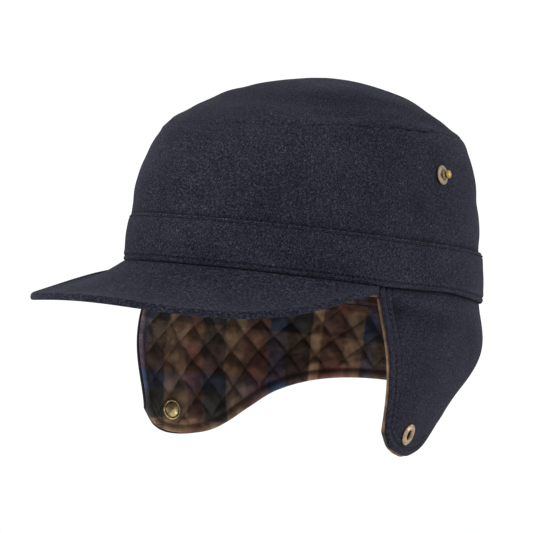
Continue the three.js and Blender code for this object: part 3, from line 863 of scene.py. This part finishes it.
def crown_relief(angle, step, seam_depth):
    """How far the crown's cloth stands out, and its painted shade: soft waves, the shoulder rounded off,
    and a seam that is deepest at the temples, with painted shade in it and a painted highlight beside it."""
    seam = SEAM_STEP + 0 * step
    away = np.linalg.norm(crown_face(angle, seam + 0.05) - crown_face(angle, seam - 0.05), axis=-1) / 0.1
    distance = (step - SEAM_STEP) * away + waves(SEAM_WANDER, angle, 0 * step)
    turned = from_front(angle)
    pull = np.maximum(1 + 0.75 * waves(SEAM_WAVES, angle, 0 * step), 0.1)
    depth = (0.25 + line_relief(turned, TEMPLE_ANGLE, TEMPLE_REACH, 0.9)) * pull
    relief = line_relief(distance, 0, SEAM_WIDTH, -seam_depth * depth)
    relief -= line_relief(distance, 0, SHOULDER_WIDTH, SHOULDER_DEPTH)
    relief += line_relief(np.abs(distance), SEAM_RIDGE, SEAM_RIDGE_WIDTH, 0.12 * depth)
    relief += waves(CROWN_WAVES, angle, step) * smooth((POLE_STEP - step) / 1.5)
    relief += hills(CROWN_FULLNESS, turned, step) - CROWN_SINK * smooth((step - 5.6) / 0.8)
    # Painted shade in the seam and a painted highlight beside it.
    shade = ridges(distance, ((0, SEAM_WIDTH, 0.34), (1.8, 1.0, -0.12))) * depth
    return relief, shade


class CAP_OT_crown(bpy.types.Operator):
    """Builds the crown's side wall and its domed top panel"""

    bl_idname = "cap.crown"
    bl_label = "Crown"

    def execute(self, context):
        seam_depth = context.scene.cap_wool.seam / METRES
        angles = np.linspace(0, 360, RING_COLUMNS, endpoint=False)[:, None]
        below = SEAM_STEP - SEAM_ROW_GAP
        steps = below - spaced(below, CROWN_FOOT_STEPS, CROWN_SIDE_STEP, False)[::-1]
        u, v = np.broadcast_arrays(angles, np.append(steps, SEAM_STEP - SEAM_HALF_GAP)[None, :])
        relief, shade = crown_relief(u, v, seam_depth)
        sides = walls(crown_face, u, v, relief, relief * 0.4 - WOOL_THICKNESS)
        # Painted shade on the crown just above the band's top, where the band meets it.
        above_band = sides[0][..., 2] - BAND_HEIGHT + band_dip(u)
        shade = shade + line_relief(above_band, 0, 1.6, 0.5)
        wall = sheet_piece("crown_side_wool", sides, ("shade", shade, 0.0), True)
        dress(wall, "melton_wool", "navy_wool", "crown_side")

        top = spaced(POLE_STEP - SEAM_STEP - POLE_GAP, CROWN_TOP_STEPS, CROWN_TOP_STEP, False)
        u, v = np.broadcast_arrays(angles, SEAM_STEP + np.concatenate([SEAM_ALLOWANCE, top])[None, :])
        relief, shade = crown_relief(u, v, seam_depth)
        relief = relief - (WOOL_THICKNESS + CLOTH_GAP) * smooth((SEAM_STEP - v) / 0.03)
        # Painted shade over the top panel, growing inwards from its seam.
        shade = shade + 0.22 * smooth((v - SEAM_STEP) / 1.5)
        sides = walls(crown_face, u, v, relief, np.minimum(relief, relief * 0.4) - WOOL_THICKNESS)
        pole = crown_face(np.array(0.0), np.array(POLE_STEP)) - (0, 0, CROWN_SINK)
        poles = (pole, pole - (0, 0, WOOL_THICKNESS))
        panel = sheet_piece("crown_top_wool", sides, ("shade", shade, 0.0), True, poles=poles)
        dress(panel, "melton_wool", "navy_wool", "crown_top")
        return {"FINISHED"}


def band_relief(angle, z, pitch):
    """How far the band's face stands out: two topstitched grooves with a pull at each stitch, a soft
    roll along both edges, and long waves."""
    pull = 1 + 0.3 * np.cos(2 * math.pi * arc_length(np.mod(angle, 360)) / pitch)
    from_top = BAND_HEIGHT - z
    relief = line_relief(z, BAND_LOW_STITCH, 0.55, -0.6 * pull) + ridges(z, BAND_LOW_RIDGES)
    relief += line_relief(from_top, BAND_TOP_STITCH, 0.5, -0.55 * pull) + ridges(from_top, BAND_TOP_RIDGES)
    return relief + 0.55 * np.sin(math.pi * z / BAND_HEIGHT) + waves(BAND_WAVES, angle, z)


def band_bow(angle):
    """How far the band's lower edge bows up over each side of the flap."""
    return line_relief(from_front(angle), BAND_BOW_ANGLE, BAND_BOW_REACH, BAND_BOW)


def band_shift(angle, z):
    """How far the band moves up by its bow, which fades upwards, and down by its dip, which grows."""
    share = z / BAND_HEIGHT
    return band_bow(angle) * (1 - share) ** 2 - band_dip(angle) * share


def band_shade(angle, z):
    """Painted shade in the band's two grooves and along its lower edge, and painted highlights on the ridges
    beside them, stronger and weaker round the head.
    """
    shade = ridges(z, BAND_LOW_SHADES) + ridges(BAND_HEIGHT - z, BAND_TOP_SHADES)
    return shade * (1 + waves(BAND_UNEVEN, angle, z))


class CAP_OT_bands(bpy.types.Operator):
    """Builds the wool band round the outside and the tartan band round the inside"""

    bl_idname = "cap.bands"
    bl_label = "Bands"

    def execute(self, context):
        self.build_wool(context.scene.cap_wool.stitch / METRES)
        self.build_tartan()
        return {"FINISHED"}

    def build_wool(self, pitch):
        """The band's oval wall, whose lower edge is bowed and whose top is dipped."""
        angles = np.linspace(0, 360, BAND_COLUMNS, endpoint=False)[:, None]
        u, z = np.broadcast_arrays(angles, spaced(BAND_HEIGHT, BAND_EDGE, BAND_STEP)[None, :])
        thickness = edge_round(np.minimum(z, BAND_HEIGHT - z), BAND_ROUND)
        half = BAND_THICKNESS / 2
        lift = (half + band_relief(u, z, pitch)) * thickness
        sides = walls(band_face, u, z, lift - half, -half - half * thickness, band_shift(u, z))
        # The band's inner side gets an even painted shade.
        band = sheet_piece("band_wool", sides, ("shade", band_shade(u, z), 0.6), True)
        dress(band, "melton_wool", "navy_wool", "band")

    def build_tartan(self):
        """A flat strip on the band's oval, moved in behind the peak and the flap. Its weave starts at the
        back."""
        angles = np.linspace(-180, 180, RING_COLUMNS, endpoint=False)
        heights = spaced(INNER_BAND_TOP - INNER_BAND_BOTTOM, INNER_BAND_EDGE, INNER_BAND_STEP)
        heights = heights + INNER_BAND_BOTTOM
        u, z = np.broadcast_arrays(angles[:, None], heights[None, :])
        edge = np.minimum(z - INNER_BAND_BOTTOM, INNER_BAND_TOP - z)
        half = INNER_BAND_THICKNESS / 2 * edge_round(edge, INNER_BAND_ROUND)
        middle = -INNER_BAND_INSET - INNER_BAND_THICKNESS / 2
        groove = line_relief(edge, 1.6, 0.4, 0.25) + 0.3 * waves(BAND_WAVES, u, z)
        sides = walls(band_face, u, z, middle + half, middle - half + groove)
        wide = np.append(angles, 180.0)
        run = np.sign(wide) * (arc_length(180 + 0 * wide) - arc_length(180 - np.abs(wide)))
        cloth = np.stack(np.broadcast_arrays(run[:, None], heights[None, :]), -1)
        # Painted shade over the whole strip and beside its groove, and a pale thread line painted between
        # the groove and each edge.
        thread_line_and_shade = 0.15 + ridges(edge, ((2.2, 0.3, 0.7), (1.3, 0.35, -1.1)))
        strip = sheet_piece("inner_band_tartan", sides, ("painted_shade_and_lines", 0.0, thread_line_and_shade), True, cloth)
        dress(strip, "brushed_tartan", "tartan_band", "inner_band")


def peak_run(angle):
    """Length of the peak's line at an angle, from the band to the edge."""
    return np.linalg.norm(peak_face(angle, 1 + 0 * angle) - peak_face(angle, 0 * angle), axis=-1)


class CAP_OT_peak(bpy.types.Operator):
    """Builds the curved peak and the tuck that holds it behind the band"""

    bl_idname = "cap.peak"
    bl_label = "Peak"

    def execute(self, context):
        angles = np.linspace(-PEAK_HALF_ANGLE, PEAK_HALF_ANGLE, PEAK_COLUMNS + 1)[:, None]
        run = peak_run(angles)
        near = np.array(PEAK_EDGE)[None, :] * np.minimum(1, run / PEAK_SHORT_RUN)
        even = np.linspace(0, 1, PEAK_ROWS)[None, 1:]
        edge = np.concatenate([near, near[:, -1:] + (run - near[:, -1:]) * even], 1)
        reach = 1 - edge / run
        u = angles + 0 * reach
        widest = PEAK_HALF_ANGLE - PEAK_END_MARGIN
        normal = -face_normal(peak_face, np.clip(u, -widest, widest), reach)
        lift = ridges(edge, PEAK_RIDGES) * np.minimum(1, run / 12) * smooth(edge / 0.6)
        wave = 0.25 * np.sin(np.radians(u) * 7 + 0.8) * np.sin(edge / 11 + 1.1)
        wave = wave * smooth(edge / 3) * smooth((run - edge) / 5)
        half = PEAK_THICKNESS / 2
        middle = peak_face(u, reach) - (0, 0, half)
        rounded = (half * edge_round(edge, PEAK_ROUND))[..., None] * (0, 0, 1)
        upper = middle + (rounded + (lift + wave)[..., None] * normal)
        lower = middle - (rounded + (lift - wave)[..., None] * normal)
        heights = np.linspace(0, 1, 5)[None, :]

        def tuck(foot, inset):
            """A face of the tuck, from its foot up behind the band."""
            rise = foot + (TUCK_HEIGHT - foot) * heights
            side = band_face(angles + 0 * rise, np.maximum(rise, 0), inset)
            side[..., 2] = rise
            return side

        outer = np.concatenate([upper, tuck(-CLOTH_GAP, TUCK_INSET)], 1)
        back = tuck(-CLOTH_GAP - PEAK_THICKNESS, TUCK_INSET + PEAK_TUCK_THICKNESS)
        inner = np.concatenate([lower, back], 1)
        # Painted shade in the stitched groove with a painted highlight on the ridge beside it, painted shade
        # at the peak's root under the band, and full painted shade on the hidden tuck.
        groove = ridges(edge, PEAK_SHADES)
        root = line_relief(run - edge, 0, 1.0, 0.4)
        hidden = np.ones((len(angles), heights.size))
        shade, under = (np.concatenate([seen, hidden], 1) for seen in (groove + root, groove))
        peak = sheet_piece("peak_wool", (outer, inner), ("shade", shade, under))
        dress(peak, "melton_wool_coarse", "navy_wool", "peak")

        widest = PEAK_HALF_ANGLE - PEAK_THREAD_MARGIN
        ends = np.linspace(-widest, widest, 400)
        length = peak_run(ends)
        line = peak_face(ends, 1 - PEAK_STITCH * np.minimum(1, length / PEAK_SHORT_RUN) / length)
        up = -face_normal(peak_face, ends, 1 + 0 * ends)
        rows = [(line - 0.30 * up, up), (line - (0, 0, PEAK_THICKNESS) + 0.30 * up, -up)]
        stitch_piece("peak_stitches", rows, context.scene.cap_wool.stitch / METRES)
        return {"FINISHED"}


def edge_stretch(rim_angle, step=0.25):
    """How much longer the way down to the lower edge is than the way straight to it, by its slope."""
    rise = flap_line(rim_angle + step)[1] - flap_line(rim_angle - step)[1]
    return np.sqrt(1 + (rise / (2 * step) / arc_speed(rim_angle)) ** 2)


def flap_distances(rim_angle, z):
    """Distance of a place on the flap from its nearest edge, from the front edge and from the lower
    edge, which is shortened by the slope of that edge."""
    down = (z + flap_line(rim_angle)[1]) / edge_stretch(rim_angle)
    front = (from_front(rim_angle) - FLAP_FRONT) * arc_speed(FLAP_FRONT)
    return np.minimum(front, down), front, down


def snap_distances(u, z):
    """Distances of places on the flap from each of its snaps."""
    place = flap_face(u, z)
    snaps = [flap_face(np.array(angle), np.array(height)) for _, angle, height in FLAP_SNAPS]
    return [np.linalg.norm(place - snap, axis=-1) for snap in snaps]


def flap_grid(columns_step, rows_step, top, proud=0.0):
    """Angles and heights of the flap's grid: fine lines along the edges and even ones between. proud is
    how far the grid reaches beyond the edge."""
    grid = np.linspace(FLAP_FRONT, 180, 800)
    lengths = arc_length(grid) - arc_length(FLAP_FRONT)
    away = spaced(lengths[-1] + proud, FLAP_EDGE, columns_step, False) - proud
    left = np.interp(np.maximum(away, 0), lengths, grid) + np.minimum(away, 0) / arc_speed(FLAP_FRONT)
    angles = np.concatenate([left[:-1], 360 - left[::-1]])[:, None]
    depth = flap_line(angles)[1]
    near = (np.array(FLAP_EDGE) - proud)[None, :] * edge_stretch(angles)
    even = np.linspace(0, 1, round((70 + top) / rows_step))[None, 1:]
    rest = near[:, -1:] + (depth + top - near[:, -1:]) * even
    heights = np.concatenate([near, rest], 1) - depth
    return angles + 0 * heights, heights


def tip_hang(rim_angle, edge):
    """Share by which the wool hangs lower than the lining: a hill at the right flap's tip, which fades
    away from the edge."""
    return line_relief(rim_angle, RIGHT_TIP, RIGHT_TIP_WIDTH, 1.0) * np.exp(-edge / 2)


def shell_relief(rim_angle, z, edge):
    """How far the flap's wool stands out: a topstitched groove, the ridge of the turned edge inside it,
    creases, waves and a pull round the snaps."""
    relief = ridges(edge, FLAP_EDGE_RIDGES) - hills(FLAP_CREASES, rim_angle, z)
    relief += waves(FLAP_WAVES, rim_angle, z) * smooth(edge / 12)
    relief += sum(ridges(away, SNAP_RIDGES) for away in snap_distances(rim_angle, z))
    return relief * smooth((edge + 0.4) / 1.6)


def shell_shade(rim_angle, z, edge):
    """Painted shade and painted highlights on the flap's wool: along its edge, in its hollows and on its
    folds, round the snaps, and a painted shadow under the band that is full behind it.
    """
    shade = ridges(edge, FLAP_EDGE_SHADES) * (1 + 0.35 * np.sin(np.radians(rim_angle) * 31 + z / 9))
    below = z - band_bow(rim_angle)
    # Painted shade in hollows, painted highlights on folds, full painted shade behind the band and a painted
    # shadow under it.
    shade += hills(FLAP_SHADES, rim_angle, z) + np.where(below > 0, 1.0, line_relief(below, 0, 1.4, 0.95))
    # Painted shade in each snap's hole.
    return shade + sum(line_relief(away, 0, 2.4, 0.9) for away in snap_distances(rim_angle, z))


def own_share(first, second, turn_first, turn_second, spread):
    """A number from 0 to 1 of each diamond's own, from the fraction of a large sine."""
    value = np.sin(first * turn_first + second * turn_second) * spread
    return value - np.floor(value)


def quilt_puff(across, down, half_width, half_height):
    """Swell of the quilting from 0 on a stitched line to 1 in a diamond's middle, and the distance from
    the lines: the product of two cosines of the diagonal places, flattened on top. The lines wander a
    little, and each diamond has its own fullness. The last value is painted light and shade across
    each diamond, lighter at its foot and darker at its head, leaning to one side in some diamonds."""
    wander_across = 0.9 * np.sin(down / 13 + 1.3) + 0.6 * np.sin(across / 17 + down / 9)
    wander_down = 1.0 * np.sin(across / 15 + 0.4) + 0.6 * np.sin(across / 8 - down / 14 + 2.0)
    across_share, down_share = (across + wander_across) / half_width, (down + wander_down) / half_height
    first, second = across_share + down_share, across_share - down_share
    from_first, from_second = np.abs(np.cos(math.pi * first / 2)), np.abs(np.cos(math.pi * second / 2))
    cell_first, cell_second = np.round(first / 2), np.round(second / 2)
    own = own_share(cell_first, cell_second, 12.9, 78.2, 43.7)
    other = own_share(cell_first, cell_second, 39.3, 11.7, 57.1)
    crumple = 0.05 * np.sin(across * 0.9 + down * 0.5) * np.sin(down * 1.1 - across * 0.3)
    height = down_share - cell_first + cell_second
    sideways = across_share - cell_first - cell_second
    # Painted light and shade across each diamond: lighter at its foot, darker at its head.
    puff_light = np.sin(1.5 * height) * (0.45 + 1.1 * other) + sideways * (2.2 * own - 0.8) * 0.6
    puff = (from_first * from_second) ** 0.55 * (0.72 + 0.5 * own + crumple)
    return puff, np.minimum(from_first, from_second), puff_light


class CAP_OT_flap(bpy.types.Operator):
    """Builds the flap's wool shell, its quilted lining and their stitching"""

    bl_idname = "cap.flap"
    bl_label = "Flap"

    def execute(self, context):
        self.build_shell()
        self.build_lining(context.scene.cap_quilt)
        pitch = context.scene.cap_wool.stitch / METRES
        self.build_stitches("flap_stitches", FLAP_STITCH, -0.34, 1.0, pitch, THREAD_THICKNESS)
        sunk = LINING_FACE - LINING_PINCHED * 0.75
        self.build_stitches("lining_stitches", BORDER_WIDTH - BORDER_PROUD, sunk, -1.0, pitch, 0.4)
        return {"FINISHED"}

    def build_shell(self):
        """The flap's outer wall, whose relief fades out behind the band."""
        u, z = flap_grid(*SHELL_STEPS, TUCK_HEIGHT)
        edge = flap_distances(u, z)[0]
        half = FLAP_SHELL_THICKNESS / 2
        thickness = edge_round(edge, SHELL_ROUND)
        lift = half * thickness + shell_relief(u, z, edge) * smooth((6 - z) / 6)
        drop = TIP_WOOL_DROP * tip_hang(u, edge)
        sides = walls(flap_face, u, z, lift - half, -half - half * thickness, -drop)
        # The shell's inner side gets an even painted shade.
        shell = sheet_piece("flap_wool", sides, ("shade", shell_shade(u, z, edge), 0.3))
        dress(shell, "melton_wool_smooth", "navy_wool", "flap_shell")

    def build_lining(self, quilt):
        """The lining's wall behind the shell: half an ellipse along the border, and puffs inside it that
        fade out at the top and round the snaps."""
        u, z = flap_grid(*LINING_STEPS, LINING_TOP, BORDER_PROUD)
        edge, front, down = flap_distances(u, z)
        edge = edge + BORDER_PROUD
        swing, depth = flap_line(u)[:2]
        across = arc_length(u + swing * np.maximum(-z, 0) / depth)
        puff, nearest, puff_light = quilt_puff(across, z, quilt.half_width / METRES, quilt.half_height / METRES)
        inside = smooth((edge - BORDER_WIDTH - 0.2) / QUILT_FADE)
        inside = inside * smooth((LINING_TOP - z) / QUILT_TOP_FADE)
        for away in snap_distances(u, z):
            inside = inside * smooth((away - SNAP_FLAT) / SNAP_FLAT_FADE)
        from_middle = (edge - BORDER_WIDTH / 2) / (BORDER_WIDTH * 0.55)
        roll = BORDER_ROLL * np.sqrt(np.clip(1 - from_middle**2, 0.02, 1))
        in_border = (1 - smooth((edge - BORDER_WIDTH + 0.6) / 0.7)) * (edge < BORDER_WIDTH + 1)
        pinch = LINING_PINCHED + 0.12 * np.sin(across * 1.1) * (1 - inside)
        thick = in_border * roll + (1 - in_border) * pinch + quilt.puff / METRES * puff * inside
        rounded = edge_round(edge, LINING_ROUND)
        back = LINING_FACE - LINING_BACK
        outer, inner = back + LINING_BACK * rounded, back - (thick - LINING_BACK) * rounded
        sides = walls(flap_face, u, z, outer, inner, tip_hang(u, edge))

        # Painted shade in the stitched valleys of the quilting, and painted light and shade across each
        # puff.
        lines = line_relief(nearest, 0, 0.05, 0.6) + line_relief(nearest, 0, 0.3, 0.22)
        painted_shade_and_lines = lines * smooth((edge - BORDER_WIDTH) / 1.0) + 0.5 * puff_light * inside
        # Painted shade in the border's seam, weaker along the front edge, and a painted shadow under the
        # inner band.
        seam = np.where(front < down, 0.4, 1.0)
        for groove in (
            line_relief(edge, BORDER_WIDTH, 0.6, seam),
            line_relief(edge, BORDER_WIDTH - 1.2, 1.1, 0.6 * seam),
            line_relief(z, INNER_BAND_BOTTOM, 1.6, 0.9),
        ):
            painted_shade_and_lines = np.maximum(painted_shade_and_lines, groove)
        # A painted highlight along the border's outer edge, on both sides of the lining.
        light = line_relief(edge, 0, 1.7, 0.65)
        shades = ("painted_shade_and_lines", -light, painted_shade_and_lines - light)
        cloth = np.stack([across, z], -1)
        lining = sheet_piece("flap_quilted_lining", sides, shades, cloth=cloth)
        dress(lining, "brushed_tartan", "tartan_quilt", "flap_lining")

    def build_stitches(self, name, inset, lift, outwards, pitch, thickness):
        """A row of stitches a fixed distance inside the edge: down the front edge, along the lower edge
        and up the other front edge."""
        start = FLAP_FRONT + inset / arc_speed(FLAP_FRONT)
        angles = np.linspace(start, 360 - start, 900)
        low = inset * edge_stretch(angles) - flap_line(angles)[1]
        down = np.linspace(-1.5, low[0], 120)[:-1]
        up = np.linspace(low[-1], -1.5, 120)[1:]
        u = np.concatenate([0 * down + angles[0], angles, 0 * up + angles[-1]])
        z = np.concatenate([down, low, up])
        normal = face_normal(flap_face, u, z)
        stitch_piece(name, [(flap_face(u, z) + normal * lift, normal * outwards)], pitch, thickness)


class CAP_OT_snaps(bpy.types.Operator):
    """Builds the six brass halves of the press studs"""

    bl_idname = "cap.snaps"
    bl_label = "Press studs"

    def execute(self, context):
        for side, angle, z in FLAP_SNAPS:
            left = side == "left"
            stud_angle, lean = (STUD_ANGLE, STUD_LEAN) if left else (360 - STUD_ANGLE, -STUD_LEAN)
            # Each seat gives the radius and width of its recess, which gets painted shade.
            seats = (
                ("crown_stud", STUD_SECTION, (2.5, 0.5), crown_face, stud_angle, STUD_STEP, 0.35, 1.0, lean),
                ("flap_socket", SOCKET_SECTION, (2.0, 0.75), flap_face, angle, z, 0.0, 1.0),
                ("flap_cap", CAP_SECTION, (4.4, 0.35), flap_face, angle, z, CAP_LIFT, -1.0),
            )
            for kind, section, recess, *seat in seats:
                self.turned(f"{kind}_{side}", kind.split("_")[1], section, recess, *seat)
        return {"FINISHED"}

    def turned(self, name, kind, section, recess, face, angle, place, lift, outwards, lean=0.0):
        """One turned piece on a face, whose axis leans from the face's normal round the head."""
        u, v = np.array(float(angle)), np.array(float(place))
        normal = face_normal(face, u, v)
        cosine, sine = math.cos(math.radians(lean)), math.sin(math.radians(lean))
        turn = np.array([(cosine, -sine, 0), (sine, cosine, 0), (0, 0, 1)])
        seat = face(u, v) + normal * lift
        piece = turned_piece(f"{name}_brass", section, seat, turn @ normal * outwards, recess)
        dress(piece, f"{kind}_brass", "brass", name)


class CAP_OT_band_stitches(bpy.types.Operator):
    """Builds the two rows of topstitching on the band"""

    bl_idname = "cap.band_stitches"
    bl_label = "Band stitching"

    def execute(self, context):
        angles = np.linspace(0, 360, 1441)
        rows = []
        for height, sunk in ((BAND_LOW_STITCH, 0.42), (BAND_HEIGHT - BAND_TOP_STITCH, 0.3)):
            z = height + 0 * angles
            normal = face_normal(band_face, angles, z)
            path = band_face(angles, z) + normal * (waves(BAND_WAVES, angles, z) - sunk)[:, None]
            path[:, 2] += band_shift(angles, z)
            rows.append((path, normal))
        stitch_piece("band_stitches", rows, context.scene.cap_wool.stitch / METRES)
        return {"FINISHED"}


# Camera: the photo's view of the rim, as turn, tilt and roll in degrees, distance and shift, the near
# and far ends of what it sees in metres, and the exposure.
VIEW_TURN, VIEW_TILT, VIEW_ROLL = 41.5, -2.0, 6.47
VIEW_DISTANCE, VIEW_RIGHT, VIEW_UP = 1536.0, -20.1, 6.12
VIEW_SCALE = 1.87
PHOTO_PIXELS = 533
SENSOR = 36.0
CLIP_NEAR, CLIP_FAR = 0.05, 60.0
EXPOSURE = 0.12

# Floor: half its width, its tone, and the share of that tone which is left where it is mottled.
FLOOR_HALF, FLOOR_TONE, FLOOR_MOTTLE = 20000.0, 0.93, 0.985

# Lamps: name, place in metres, width, share of the key light.
LAMPS = (
    ("left", (-0.98, -1.62, 0.45), 1.1, 1.0),
    ("right", (1.48, 1.05, 0.45), 1.1, 0.6),
    ("low", (0.35, -1.75, -0.75), 0.5, 0.35),
)


class CAP_OT_stage(bpy.types.Operator):
    """Builds the floor, the lights and the camera"""

    bl_idname = "cap.stage"
    bl_label = "Stage"

    def execute(self, context):
        stage = context.scene.cap_stage
        self.build_camera(context.scene)
        self.build_floor(-stage.floor_drop / METRES)
        self.build_lights(context.scene, stage)
        return {"FINISHED"}

    def build_camera(self, scene):
        """A camera that looks along the turned and tilted line, rolled about it."""
        turn, tilt, roll = (math.radians(x) for x in (VIEW_TURN, VIEW_TILT, VIEW_ROLL))
        back = Vector((math.sin(turn) * math.cos(tilt), -math.cos(turn) * math.cos(tilt), math.sin(tilt)))
        right = Vector((math.cos(turn), math.sin(turn), 0))
        up = back.cross(right)
        turned_right = right * math.cos(roll) + up * math.sin(roll)
        turned_up = up * math.cos(roll) - right * math.sin(roll)
        matrix = Matrix((turned_right, turned_up, back)).transposed().to_4x4()
        matrix.translation = (right * VIEW_RIGHT + Vector((0, 0, VIEW_UP)) + back * VIEW_DISTANCE) * METRES
        camera = bpy.data.cameras.new("camera")
        camera.sensor_width = SENSOR
        camera.lens = VIEW_DISTANCE * VIEW_SCALE / PHOTO_PIXELS * SENSOR
        camera.clip_start, camera.clip_end = CLIP_NEAR, CLIP_FAR
        scene.camera = self.place(scene, camera, matrix)

    def place(self, scene, data, matrix):
        """An object for a camera or a lamp, at its place in the scene."""
        holder = bpy.data.objects.new(data.name, data)
        holder.matrix_world = matrix
        scene.collection.objects.link(holder)
        return holder

    def build_floor(self, z):
        """One large level face."""
        corners = [(x * FLOOR_HALF, y * FLOOR_HALF, z) for x, y in ((-1, -1), (1, -1), (1, 1), (-1, 1))]
        floor = new_piece("floor", np.array(corners), [np.array([[0, 1, 2, 3]])])
        floor.data.materials.append(floor_material("pale_floor"))

    def build_lights(self, scene, stage):
        """An even white room, and round lamps that point at the cap's origin."""
        scene.world = bpy.data.worlds.new("room")
        scene.world.use_nodes = True
        background = scene.world.node_tree.nodes["Background"]
        background.inputs[0].default_value = (1, 1, 1, 1)
        background.inputs[1].default_value = stage.sky
        for name, place, size, share in LAMPS:
            lamp = bpy.data.lights.new(name, "AREA")
            lamp.shape = "DISK"
            lamp.size = size
            lamp.energy = stage.key * share
            turn = (-Vector(place)).to_track_quat("-Z", "Y").to_matrix().to_4x4()
            self.place(scene, lamp, Matrix.Translation(place) @ turn)
        scene.view_settings.view_transform = "Standard"
        scene.view_settings.exposure = EXPOSURE


OPERATORS = (
    CAP_OT_stage, CAP_OT_crown, CAP_OT_bands, CAP_OT_band_stitches, CAP_OT_peak, CAP_OT_flap, CAP_OT_snaps,
)
SETTINGS = (("cap_wool", CapWool), ("cap_quilt", CapQuilt), ("cap_brass", CapBrass), ("cap_stage", CapStage))


class CAP_PT_panel(bpy.types.Panel):
    """Sizes, colours and builders of the cap"""

    bl_idname = "CAP_PT_panel"
    bl_label = "Cap with earflaps"
    bl_space_type = "VIEW_3D"
    bl_region_type = "UI"
    bl_category = "Cap"

    def draw(self, context):
        for name, group in SETTINGS:
            for key in group.__annotations__:
                self.layout.prop(getattr(context.scene, name), key)
        for operator in OPERATORS:
            self.layout.operator(operator.bl_idname)


def register():
    """Registers the settings, the operators and the panel."""
    for name, group in SETTINGS:
        bpy.utils.register_class(group)
        setattr(bpy.types.Scene, name, bpy.props.PointerProperty(type=group))
    for operator in OPERATORS:
        bpy.utils.register_class(operator)
    bpy.utils.register_class(CAP_PT_panel)


def unregister():
    """Takes them away again, in the other order."""
    bpy.utils.unregister_class(CAP_PT_panel)
    for operator in reversed(OPERATORS):
        bpy.utils.unregister_class(operator)
    for name, group in reversed(SETTINGS):
        delattr(bpy.types.Scene, name)
        bpy.utils.unregister_class(group)


def main():
    """Registers the add-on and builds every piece."""
    register()
    bpy.ops.cap.stage()
    bpy.ops.cap.crown()
    bpy.ops.cap.bands()
    bpy.ops.cap.band_stitches()
    bpy.ops.cap.peak()
    bpy.ops.cap.flap()
    bpy.ops.cap.snaps()


if __name__ == "__main__":
    main()
